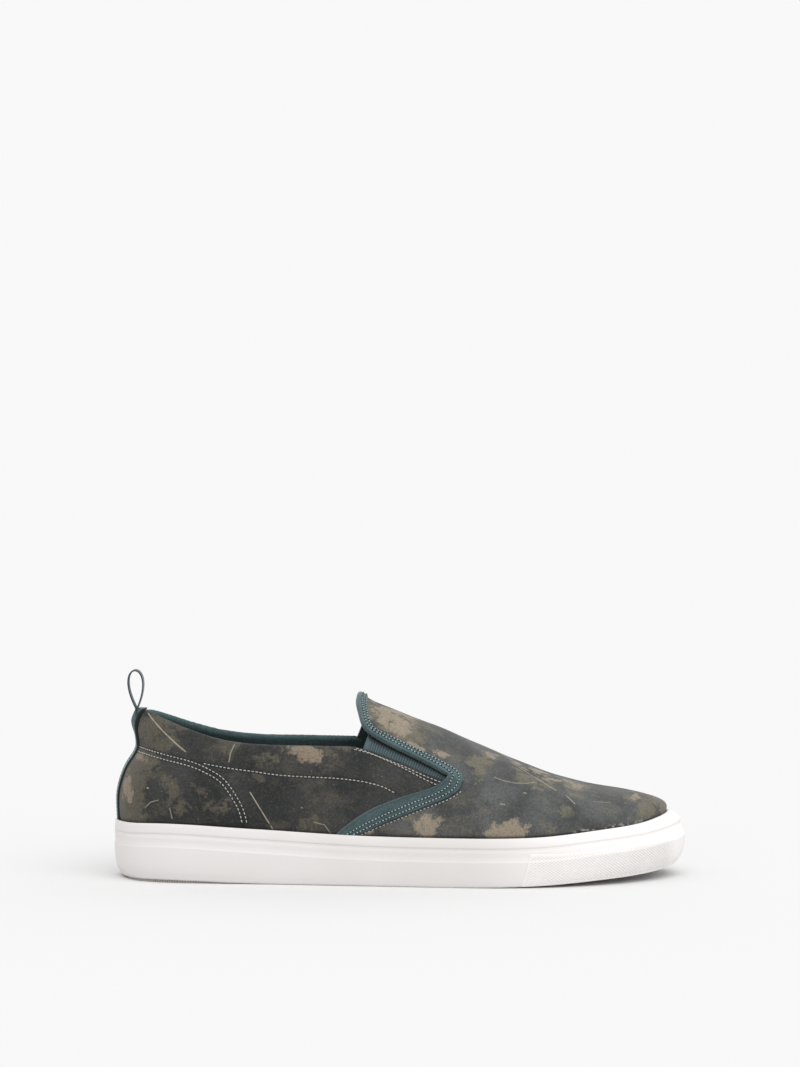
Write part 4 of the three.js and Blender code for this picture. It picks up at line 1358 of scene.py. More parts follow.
@dataclass
class Upper:
    """One hollow upper: brushed cloth outside, a rolled edge and the lining inside.

    The grid of the last is kept where it lies on cloth, and the points next to the opening are moved
    onto its edge, so that the edge is smooth.
    """

    seam_depth: float = 0.3
    seam_width: float = 0.7
    unevenness: float = 0.22
    on_edge: float = 0.03

    def build(self, finishes: Finishes) -> bpy.types.Object:
        """Builds both layers on the same grid and joins them at the edge and at the foot.

        Args:
            finishes: The shoe's finishes.

        Returns:
            The upper.
        """
        place, kept = self._grid()
        stations, rows = LAST.STATIONS, LAST.ROWS
        edge_distance = OPENING.distance(LAST.sample(LAST.face, place)[..., ::2])
        edge_distance = np.where(edge_distance < self.on_edge, 0, edge_distance)
        pad = LAST.sample(LAST.pad, place)
        thick = SHOE.wall + SHOE.padding * np.sin(np.pi / 2 * pad)
        half = thick / 2
        roll = half - np.sqrt(np.maximum(half**2 - np.maximum(half - edge_distance, 0) ** 2, 0))
        points = LAST.sample(LAST.face, place)
        relief = self.relief(points) * ramp(0, 3, edge_distance)
        outer = LAST.off(place, relief - roll)
        inner = LAST.off(place, roll - thick)
        faces = grid_faces(stations, rows, True)[kept]
        tones = self._tones(points, edge_distance)
        builder = Builder("upper")
        builder.add(outer, faces, 0, **tones, depth=np.zeros(outer.shape[:2]))
        blank = {name: np.zeros(outer.shape[:2]) for name in tones}
        # Painted shade: the lining darkens to black from 5 to 20 mm in from the opening.
        blank["depth"] = ramp(5, 20, edge_distance)
        builder.add(inner, faces[:, ::-1], 1, **blank)
        foot = np.stack([inner[:, 0], outer[:, 0]], axis=1)
        none = {name: np.zeros(foot.shape[:2]) for name in blank}
        builder.grid(foot, 1, (True, False), **none)
        piece = builder.finish([finishes.cloth, finishes.lining], merge=0.01)
        return placed(piece, "upper_cloth", "upper")

    def _grid(self) -> tuple[np.ndarray, np.ndarray]:
        """Places of the grid's points after the move onto the edge, and which quads are kept.

        Returns:
            Places as (station, row) pairs, and a flag for each quad.
        """
        stations, rows = LAST.STATIONS, LAST.ROWS
        i, j = np.meshgrid(np.arange(stations), np.arange(rows), indexing="ij")
        place = np.stack([i, j], axis=-1).astype(float)
        field_ = OPENING.distance(LAST.face[..., ::2])
        cloth = field_ > 0
        near = cloth.copy()
        for turn in (-1, 0, 1):
            shifted = np.roll(cloth, turn, axis=0)
            near |= shifted
            near[:, 1:] |= shifted[:, :-1]
            near[:, :-1] |= shifted[:, 1:]
        fringe = near & ~cloth
        slope_i = (np.roll(field_, -1, axis=0) - np.roll(field_, 1, axis=0)) / 2
        slope_j = np.gradient(field_, axis=1)
        for _ in range(4):
            here = place[fringe]
            value = LAST.sample(field_, here)
            si, sj = LAST.sample(slope_i, here), LAST.sample(slope_j, here)
            steep = np.maximum(si**2 + sj**2, 1e-4)
            step = np.column_stack([si, sj]) * (-value / steep)[:, None]
            here = here + np.clip(step, -1.2, 1.2)
            here[:, 1] = np.clip(here[:, 1], 0, rows - 1)
            place[fringe] = here
        quads = grid_faces(stations, rows, True)
        usable = near.ravel()[quads].all(axis=1) & cloth.ravel()[quads].any(axis=1)
        return place, usable

    def relief(self, points: np.ndarray) -> np.ndarray:
        """Outward movement: slow waves of the cloth, creases, troughs along the sewn lines and the counter's
        step.

        Args:
            points: Points of the last's face.

        Returns:
            Height over the face in millimetres.
        """
        flat = points[..., ::2].reshape(-1, 2)
        x, y, z = points[..., 0], points[..., 1], points[..., 2]
        waves = np.sin(x / 9.5 + z / 14) * np.cos(y / 11 - z / 8) + 0.6 * np.sin(x / 5.2 - z / 6.1 + y / 7)
        moved = self.unevenness * waves * ramp(29, 40, z) * 0.5
        outer_side = (y < 0).ravel()
        for crease in CREASES:
            moved -= (crease.over(flat) * np.where(outer_side, 1, 0.6)).reshape(x.shape)
        counter = shifted_line(side_line(COUNTER_ROW, 30), 1.2)
        corner = np.array([[-SHOE.length, counter[-1, 1]], [-SHOE.length, counter[0, 1]]])
        away = line_distance(flat, counter)
        held = np.where(inside_outline(flat, np.vstack([counter, corner])), away, -away).reshape(x.shape)
        moved += SHOE.counter_step * ramp(-0.5, 0.7, held) * ramp(0, 1.5, z - 29)
        for line in self.seams():
            near = np.exp(-((line_distance(flat, line) / self.seam_width) ** 2))
            moved -= self.seam_depth * near.reshape(x.shape)
        return moved

    @staticmethod
    def seams() -> tuple[np.ndarray, ...]:
        """Side-view lines that are sewn down: the pad's lower edge and the counter's two rows."""
        pad = side_line(PAD_SEAM, 60)
        pad = pad[pad[:, 0] < 147]
        counter = side_line(COUNTER_ROW, 60)
        return pad, counter, shifted_line(counter, -2.3)

    def _tones(self, points: np.ndarray, edge_distance: np.ndarray) -> dict[str, np.ndarray]:
        """Vertex values for the cloth's clouds, the quarter's darker tones, toe flakes and near-black lines,
        where the tones and lines are painted shade.

        Args:
            points: Points of the last's face.
            edge_distance: Distance of each to the opening.

        Returns:
            The vertex values by name.
        """
        x, y, z = points[..., 0], points[..., 1], points[..., 2]
        inner = ramp(-4, 8, y)
        far_x, far_z = 300 - x, z + 0.06 * (x - 150)
        tones: dict[str, np.ndarray] = {}
        for name, clouds in (("khaki", KHAKI_CLOUDS), ("tan", TAN_CLOUDS), ("deep", DEEP_CLOUDS)):
            near = np.max([c.over(x, z) for c in clouds], axis=0)
            far = np.max([c.over(far_x, far_z) for c in clouds], axis=0)
            tones[name] = near * (1 - inner) + far * inner
        flat = points[..., ::2].reshape(-1, 2)
        split = np.interp(z, QUARTER_SHADE_SPLIT[:, 1], QUARTER_SHADE_SPLIT[:, 0])
        # 1 behind the split line: the quarter's darker tones, painted shade of the upright side.
        tones["quarter_shade"] = 1 - ramp(-2, 2, x - split)
        lip = sole_at(x / SHOE.length)["top"]
        toe = ramp(228, 238, x) * (1 - ramp(262, 276, x)) * (y < 0)
        tones["flake"] = 0.7 * toe * ramp(0.2, 0.5, z - lip) * (1 - ramp(1.0, 2.2, z - lip))
        # Painted shade: darker just above the sole's lip, at the opening's edge and along the sewn lines.
        seam = 0.7 * (1 - ramp(0.2, 1.6, z - lip)) + 0.5 * (1 - ramp(0, 1.2, edge_distance))
        for line in self.seams():
            seam = seam + 0.45 * np.exp(-((line_distance(flat, line) / 0.9) ** 2)).reshape(x.shape)
        tones["seam"] = np.clip(seam, 0, 1)
        return tones


@dataclass
class Sole:
    """Moulded cup sole: lip, groove, step, tapering wall, rounded edge, cup and lugs."""

    stations: int = 640
    groove: float = 0.25
    step: float = 0.4
    edge_round: float = 1.1
    tread_depth: float = 2.4
    tread_inset: float = 5.0
    tread_groove: float = 3.0
    tread_pitch: float = 13.0
    teeth: tuple[float, float] = (6.0, 66.0)
    tooth_pitch: float = 1.4
    tooth_half: float = 0.27
    tooth_depth: float = 0.8
    pads: tuple[tuple[float, float], ...] = ((0.02, 0.34), (0.45, 0.97))

    def wall_profile(
        self, wall: dict[str, np.ndarray], extra: float = 0.0
    ) -> tuple[list[np.ndarray], list[np.ndarray]]:
        """Outward reach and height of the wall's profile, from the lower edge to the lip's top.

        Args:
            wall: Heights and insets at the stations.
            extra: How far outside the wall the profile lies.

        Returns:
            The reaches and the heights, one array of stations each.
        """
        edge, top, height = wall["edge"], wall["top"], wall["height"]
        lean, taper = wall["lean"], wall["taper"]
        low = WALL_PROFILE.column("up")[0] * height
        reach, level = [], []
        for turn in np.linspace(0, np.pi / 2, 5):
            reach.append(extra - taper - self.edge_round * (1 - np.sin(turn)))
            level.append(edge + low * (1 - np.cos(turn)))
        for up, share in WALL_PROFILE.rows[1:]:
            reach.append(extra - taper * share)
            level.append(edge + up * height)
        step = top - SHOE.step_below
        foot = top - SHOE.lip_height
        lip = -lean * 0.28
        bottom = lip - self.groove
        rows = [
            (0 * top, step - 0.5), (0 * top, step - 0.15), (0 * top - 0.08, step + 0.05),
            (0 * top - self.step, step + self.step),
            (0.5 * (bottom + 0.25 - self.step), (step + foot) / 2),
            (bottom + 0.3, foot - 1.7), (bottom + 0.2, foot - 1.35), (bottom + 0.06, foot - 1.05),
            (bottom, foot - 0.75), (bottom, foot - 0.2), (lip - 0.4, foot + 0.02),
            (lip - 0.2, foot + 0.25), (lip - 0.04, foot + 0.55), (lip, foot + 0.95),
            (-lean * 0.56, top - SHOE.lip_height * 0.42), (-lean * 0.82, top - 0.95),
            (-lean * 0.97 - 0.05, top - 0.3), (-lean - 0.3, top - 0.06), (-lean - 0.75, top),
            (-lean - 1.5, top - 0.1),
        ]
        for out, z in rows:
            reach.append(extra + out)
            level.append(z)
        return reach, level

    def build(self, finishes: Finishes) -> bpy.types.Object:
        """Sweeps the profile round the plan and closes it over the cup, the underside and its lugs.

        Args:
            finishes: The shoe's finishes.

        Returns:
            The sole.
        """
        turn = np.arange(self.stations) * 2 / self.stations
        plan, normal = OUTLINE_PLAN.stations(turn)
        wall = sole_at(plan[:, 0] / SHOE.length)
        reach, level = self.wall_profile(wall)
        inset = -(wall["lean"] + SHOE.lip_thickness)
        bed = SHOE.bed_height + wall["edge"]
        for out, z in ((inset, wall["top"] - 0.5), (inset, bed), (inset - 6, bed)):
            reach.append(out)
            level.append(z)
        land = -wall["taper"] - self.edge_round
        under = [
            (-wall["taper"] - self.tread_inset + 0.3, wall["edge"] + self.tread_depth),
            (-wall["taper"] - self.tread_inset + 1, wall["edge"]), (land - 0.4, wall["edge"] + 0.0),
        ]
        reach = [u[0] for u in under] + reach
        level = [u[1] for u in under] + level
        reach, level = np.stack(reach, axis=1), np.stack(level, axis=1)
        flat = plan[:, None, :] + normal[:, None, :] * reach[..., None]
        points = np.concatenate([flat, level[..., None]], axis=2)
        foot = (wall["top"] - SHOE.lip_height)[:, None]
        # Darker in the groove under the lip and along the bottom 1.5 mm of the wall.
        low_edge_dark = 1 - ramp(0, 1.5, level - wall["edge"][:, None])
        dirt = np.exp(-(((level - foot + 0.4) / 0.6) ** 2)) * 0.12 + 0.25 * low_edge_dark
        builder = Builder("sole")
        builder.grid(points, 0, (True, False), dirt=dirt)
        self._close(builder, points[:, -1], True)
        self._close(builder, points[:, 0], False)
        self._lugs(builder)
        self._teeth(builder)
        piece = builder.finish([finishes.rubber, finishes.shaded_tread], merge=0.002)
        piece.data.set_sharp_from_angle(angle=math.radians(50))
        return placed(piece, "sole_rubber", "sole")

    def _close(self, builder: Builder, ring: np.ndarray, up: bool) -> None:
        """Closes a ring with rungs from each station to the one that faces it.

        Args:
            builder: The sole's builder.
            ring: Points round the surface.
            up: Whether it faces up.
        """
        half = self.stations // 2
        left = ring[: half + 1]
        right = np.roll(ring[::-1], 1, axis=0)[: half + 1]
        share = np.linspace(0, 1, 9)[None, :, None]
        rungs = left[:, None, :] * (1 - share) + right[:, None, :] * share
        faces = grid_faces(half + 1, 9)
        faces = faces if up else faces[:, ::-1]
        # The cup's floor and the underside are darkened a little: painted shade.
        builder.add(rungs, faces, 0 if up else 1, dirt=np.full(rungs.shape[:2], 0.3))

    def _lugs(self, builder: Builder) -> None:
        """Cross lugs of the heel and forefoot pads, each a box that follows the plan between two grooves.

        Args:
            builder: The sole's builder.
        """
        for start, end in self.pads:
            low, high = start * SHOE.length, end * SHOE.length
            count = int((high - low) // self.tread_pitch)
            cuts = low + np.arange(count + 1) * (high - low) / count
            for a, b in zip(cuts[:-1], cuts[1:]):
                first = a + (self.tread_groove / 2 if a > low else 2.4)
                last = b - (self.tread_groove / 2 if b < high else 0)
                self._lug(builder, first, last)

    def _teeth(self, builder: Builder) -> None:
        """Fine teeth under the heel's edge on both sides, small boxes between the floor and the land,
        darkened in full as painted shadow.

        Args:
            builder: The sole's builder.
        """
        start, end = self.teeth
        for side in (0, 1):
            turn = np.linspace(0.02, 0.35, 600)
            plan, normal = OUTLINE_PLAN.stations(turn if side == 0 else 2 - turn)
            run = lengths_along(plan)
            inside = (plan[:, 0] > start) & (plan[:, 0] < end)
            where = np.arange(run[inside][0], run[inside][-1], self.tooth_pitch)
            place = np.column_stack([np.interp(where, run, plan[:, k]) for k in (0, 1)])
            out = unit(np.column_stack([np.interp(where, run, normal[:, k]) for k in (0, 1)]))
            ahead = np.column_stack([-out[:, 1], out[:, 0]])
            wall = sole_at(place[:, 0] / SHOE.length)
            inset = -(wall["taper"] + self.edge_round + 0.1)
            corners = np.array([(a, b) for a, b in ((-1, -1), (1, -1), (1, 1), (-1, 1))], float)
            along = corners[None, :, :1] * self.tooth_pitch * self.tooth_half
            depth = inset[:, None, None] + (corners[None, :, 1:] - 1) * self.tooth_depth
            flat = place[:, None] + ahead[:, None] * along + out[:, None] * depth
            low = np.concatenate([flat, np.full((*flat.shape[:2], 1), 0.05)], axis=2)
            roof = np.broadcast_to(wall["edge"][:, None, None] + 0.1, (*flat.shape[:2], 1))
            high = np.concatenate([flat, roof], axis=2)
            points = np.concatenate([low, high], axis=1)
            walls = [(0, 1, 5, 4), (1, 2, 6, 5), (2, 3, 7, 6), (3, 0, 4, 7)]
            box = np.array([(0, 3, 2, 1), (4, 5, 6, 7), *walls])
            faces = (box[None] + 8 * np.arange(len(where))[:, None, None]).reshape(-1, 4)
            # Full darkening: painted shadow of the teeth under the heel's edge.
            builder.add(points, faces, 1, dirt=np.full(points.shape[:2], 1.0))

    def _lug(self, builder: Builder, first: float, last: float) -> None:
        """One lug: an arch section across the shoe, its foot on the floor line and its sides drawn in.

        Args:
            builder: The sole's builder.
            first: Where it begins along the shoe, in millimetres.
            last: Where it ends.
        """
        x = np.linspace(first, last, 7)
        along = x / SHOE.length
        wall = sole_at(along)
        edge = np.where(along > 0.6, wall["edge"], 0.0)
        inset = wall["taper"] + self.tread_inset
        outer = -OUTLINE.at("outer", along) * SHOE.ball + inset
        inner = OUTLINE.at("inner", along) * SHOE.ball - inset
        x = np.concatenate([[first], x[1:-1], [last]])
        top = wall["edge"] + self.tread_depth + 0.2
        y = np.linspace(0, 1, 25)[None, :]
        across = outer[:, None] + (inner - outer)[:, None] * y
        ends = np.array([0.35, 0, 0, 0, 0, 0, 0.35])[:, None]
        floor = np.broadcast_to(edge[:, None], across.shape)
        grid = np.stack([np.broadcast_to(x[:, None], across.shape), across, floor], axis=-1)
        upper = grid.copy()
        upper[..., 2] = top[:, None]
        upper[0, :, 0] -= 0.3
        upper[-1, :, 0] += 0.3
        soft = grid.copy()
        soft[..., 2] += ends
        soft[:, 0, 2] += 0.35
        soft[:, -1, 2] += 0.35
        faces = grid_faces(7, 25)
        # The lugs are darkened: painted shade of the underside.
        builder.add(soft, faces[:, ::-1], 1, dirt=np.full(across.shape, 0.35))
        builder.add(upper, faces, 1, dirt=np.full(across.shape, 0.5))
        ring_low = np.concatenate([soft[:, 0], soft[-1, 1:], soft[-2::-1, -1], soft[0, -2:0:-1]])
        ring_top = np.concatenate([upper[:, 0], upper[-1, 1:], upper[-2::-1, -1], upper[0, -2:0:-1]])
        band = np.stack([ring_low, ring_top], axis=1)
        builder.grid(band, 1, (True, False), dirt=np.full((len(ring_low), 2), 0.5))


@dataclass
class Bumper:
    """Toe strip of rubber with slanted fine ribs and, at its rear, crossing ribs."""

    stations: int = 1100
    rows: int = 44
    proud: float = 0.25
    sunk: float = 0.75
    pitch: float = 2.3
    relief: float = 0.42
    slant: float = 34.0
    start: float = 0.705

    def build(self, sole: Sole, finishes: Finishes) -> bpy.types.Object:
        """Strip over the wall from its back edge round the toe; ribs are a cosine across their slant.

        Args:
            sole: The sole that it lies on.
            finishes: The shoe's finishes.

        Returns:
            The strip.
        """
        half_turn = self._turn_at(self.start * SHOE.length)
        turn = np.linspace(half_turn[0], half_turn[1], self.stations)
        plan, normal = OUTLINE_PLAN.stations(turn)
        along = plan[:, 0] / SHOE.length
        wall = sole_at(along)
        reach, level = (np.stack(v, axis=1) for v in sole.wall_profile(wall, self.proud))
        top = BUMPER_TOP.at("up", along) * SHOE.wall_height
        share = np.linspace(0, 1, self.rows)
        z = wall["edge"][:, None] + 0.15 + (top - wall["edge"] - 0.15)[:, None] * share[None, :]
        smooth_rows = np.argsort(level[0])
        rows = [np.interp(z[k], level[k, smooth_rows], reach[k, smooth_rows]) for k in range(len(z))]
        out = np.stack(rows)
        run = lengths_along(plan)[:, None]
        back = z * 0.26
        near_end = np.minimum(run, run[-1] - run) - back
        above = ramp(0.3, 1.5, z - wall["edge"][:, None])
        border = ramp(0.5, 1.4, top[:, None] - z) * ramp(0.6, 1.6, near_end) * above
        slope = math.radians(self.slant)
        ahead = np.where(turn[:, None] < 1, run, run[-1] - run)
        phase = (ahead * math.sin(slope) + z * math.cos(slope)) * 2 * np.pi / (self.pitch * 0.5)
        cross = (ahead * math.sin(slope) - z * math.cos(slope)) * 2 * np.pi / (self.pitch * 0.5)
        waffle = 1 - ramp(22, 62, near_end)
        ribs = 0.5 + 0.5 * np.cos(phase) * (1 - 0.5 * waffle) + 0.25 * waffle * np.cos(cross)
        fade = 1 - 0.75 * ramp(0.955, 0.985, along)[:, None]
        lift = self.relief * (ribs - 0.5) * border * fade - 0.1 * (1 - border)
        cut = ramp(-0.3, 0.5, near_end)
        reach_all = out + lift - (1 - cut) * (self.proud + 0.15)
        face = np.concatenate([plan[:, None] + normal[:, None] * reach_all[..., None], z[..., None]], axis=2)
        top_row = face[:, -1:].copy()
        top_row[..., :2] -= normal[:, None] * self.sunk
        low_row = face[:, :1].copy()
        low_row[..., :2] -= normal[:, None] * self.sunk
        points = np.concatenate([low_row, face, top_row], axis=1)
        # Painted shade: darker in the rib valleys and along the strip's rear edge.
        dirt = 0.4 * np.clip(1 - ribs * 1.3, 0, 1) * border * fade + 0.5 * np.exp(-((near_end / 0.5) ** 2))
        dirt = np.concatenate([dirt[:, :1], dirt, dirt[:, -1:]], axis=1)
        builder = Builder("toe_bumper")
        builder.grid(points, 0, (False, True), dirt=dirt)
        for ring, flip in ((points[0], True), (points[-1], False)):
            order = np.arange(len(ring))[None, :]
            builder.add(ring, order if flip else order[:, ::-1], 0, dirt=np.zeros(len(ring)))
        piece = builder.finish([finishes.toe_rubber], merge=0.002)
        return placed(piece, "bumper_rubber", "toe_bumper")

    @staticmethod
    def _turn_at(x: float) -> tuple[float, float]:
        """Turns at which the plan passes a distance from the heel, on the outer and the inner side.

        Args:
            x: Place along the shoe.

        Returns:
            The two turns, the outer side's first.
        """
        turn = np.linspace(0, 1, 400)
        found = []
        for side in (turn, 2 - turn):
            plan = OUTLINE_PLAN.plan(side)
            found.append(float(np.interp(x, plan[:, 0], side)))
        return found[0], found[1]


@dataclass
class Insole:
    """Foot bed inside the cup, a soft slab with a rounded rim."""

    thickness: float = 4.0
    stations: int = 200

    def build(self, finishes: Finishes) -> bpy.types.Object:
        """Rings from the base to the rim, then rungs across that dip a little in the middle.

        Args:
            finishes: The shoe's finishes.

        Returns:
            The foot bed.
        """
        turn = np.arange(self.stations) * 2 / self.stations
        plan, normal = OUTLINE_PLAN.stations(turn)
        wall = sole_at(plan[:, 0] / SHOE.length)
        out = -(wall["lean"] + SHOE.lip_thickness + 2 * SHOE.gap + SHOE.wall)
        base = SHOE.bed_height + wall["edge"] + SHOE.gap
        rings = []
        top_steps = ((1, self.thickness), (4, self.thickness + 0.02))
        for inset, z in ((6, 0), (0, 0), (0, 3), (0.3, 3.6), *top_steps):
            rings.append(np.column_stack([plan + normal * (out - inset)[:, None], base + z]))
        points = np.stack(rings, axis=1)
        builder = Builder("insole")
        builder.grid(points, 0, (True, False), seam=np.zeros(points.shape[:2]))
        half = self.stations // 2
        share = np.linspace(0, 1, 13)[None, :, None]
        for row, up in ((-1, True), (0, False)):
            ring = points[:, row]
            left, right = ring[: half + 1], np.roll(ring[::-1], 1, axis=0)[: half + 1]
            rungs = left[:, None] * (1 - share) + right[:, None] * share
            if up:
                rungs[..., 2] -= (1.2 * np.sin(np.pi * share) * ramp(10, 60, left[:, None, :1]))[..., 0]
            faces = grid_faces(half + 1, 13)
            builder.add(rungs, faces if up else faces[:, ::-1], 0, seam=np.zeros(rungs.shape[:2]))
        piece = builder.finish([finishes.insole], merge=0.002)
        return placed(piece, "insole_fabric", "insole")


class Side(Enum):
    """The two sides of the foot."""

    OUTER = False
    INNER = True


def to_ridge(line: np.ndarray) -> np.ndarray:
    """The part of a rising side-view line below the ridge, with the point where it meets the ridge.

    Args:
        line: Side-view points.

    Returns:
        The line up to the ridge.
    """
    half = LAST.STATIONS // 2
    ridge = LAST.face[: half + 1, -1, ::2]
    order = np.argsort(ridge[:, 0])
    over = line[:, 1] - np.interp(line[:, 0], ridge[order, 0], ridge[order, 1])
    k = int(np.argmax(over > 0)) if (over > 0).any() else len(line) - 1
    share = over[k - 1] / (over[k - 1] - over[k]) if over[k] > 0 else 1.0
    return np.vstack([line[:k], line[k - 1] + (line[k] - line[k - 1]) * share])


def from_lip(line: np.ndarray, above: float = 0.1) -> np.ndarray:
    """The part of a side-view line above the sole's lip, starting a little above it."""
    over = line[:, 1] - sole_at(line[:, 0] / SHOE.length)["top"] - above
    k = max(int(np.argmax(over > 0)), 1)
    share = over[k - 1] / (over[k - 1] - over[k])
    return np.vstack([line[k - 1] + (line[k] - line[k - 1]) * share, line[k:]])


@dataclass
class Stitching:
    """Rows of small sewn stitches, each a bead of thread that dips into the cloth at its ends."""

    name: str
    builder: Builder = field(init=False)
    SIDES = 6

    def __post_init__(self) -> None:
        """Opens the mesh that holds every stitch of this thread."""
        self.builder = Builder(self.name)
        self.total = 0

    def row(
        self,
        path: np.ndarray,
        out: float | np.ndarray,
        pitch: float,
        length: float,
        radius: float,
        slot: int = 0,
        phase: float = 0.5,
    ) -> None:
        """Adds stitches along a path on the last.

        Args:
            path: (station, row) places along the sewn line.
            out: Height of the thread over the cloth's face.
            pitch: Distance from one stitch to the next.
            length: Length of a stitch that shows.
            radius: Radius of the thread.
            slot: Material slot.
            phase: Where the first stitch lies, in pitches.
        """
        points = LAST.off(path, np.zeros(len(path)) + out)
        normals = unit(LAST.sample(LAST.normals, path))
        run = lengths_along(points)
        count = int(run[-1] / pitch - phase)
        if count < 1:
            return
        where = (np.arange(count) + phase) * pitch
        middle = np.column_stack([np.interp(where, run, points[:, k]) for k in range(3)])
        normal = unit(np.column_stack([np.interp(where, run, normals[:, k]) for k in range(3)]))
        ahead = np.column_stack([np.interp(where + 0.5, run, points[:, k]) for k in range(3)])
        behind = np.column_stack([np.interp(where - 0.5, run, points[:, k]) for k in range(3)])
        self.beads(middle, unit(ahead - behind), normal, length, radius, slot)

    def beads(
        self,
        middle: np.ndarray,
        run: np.ndarray,
        normal: np.ndarray,
        length: float,
        radius: float,
        slot: int = 0,
    ) -> None:
        """Adds beads: rings along each stitch whose radius and sink follow a short table.

        Args:
            middle: Middle of each stitch.
            run: Direction along the row.
            normal: Direction off the cloth.
            length: Length of a stitch.
            radius: Half its width.
            slot: Number of the material.
        """
        across = unit(np.cross(normal, run))
        half = [(-0.5, 0.45, -1.1), (-0.34, 0.95, -0.25)]
        rings = np.array([*half, (0.0, 1.05, 0.0), (0.34, 0.95, -0.25), (0.5, 0.45, -1.1)])
        turn = np.arange(self.SIDES) * 2 * np.pi / self.SIDES
        u = (rings[:, 0] * length)[None, :, None, None]
        size = rings[:, 1][:, None] * radius
        v = (size * np.cos(turn))[None, :, :, None]
        w = (size * np.sin(turn) + rings[:, 2][:, None] * radius)[None, :, :, None]
        aside = across[:, None, None] * v + normal[:, None, None] * w
        points = middle[:, None, None] + run[:, None, None] * u + aside
        count, rows = len(middle), len(rings)
        quads = grid_faces(rows, self.SIDES, False, True)
        start = (np.arange(count) * rows * self.SIDES)[:, None, None]
        self.builder.add(points.reshape(-1, 3), (quads[None, :, ::-1] + start).reshape(-1, 4), slot)
        caps = np.stack([np.arange(self.SIDES)[::-1], np.arange(self.SIDES) + (rows - 1) * self.SIDES])
        first = self.builder.count - points.size // 3
        self.builder.faces.append((caps[None] + start).reshape(-1, self.SIDES) + first)
        self.builder.slots.append(np.full(2 * count, slot))
        self.total += count

    def finish(self, materials: list[bpy.types.Material], slot: str) -> bpy.types.Object:
        """Writes the mesh and rides it on the shoe."""
        log.info("%s: %d stitches", self.name, self.total)
        return placed(self.builder.finish(materials), slot)


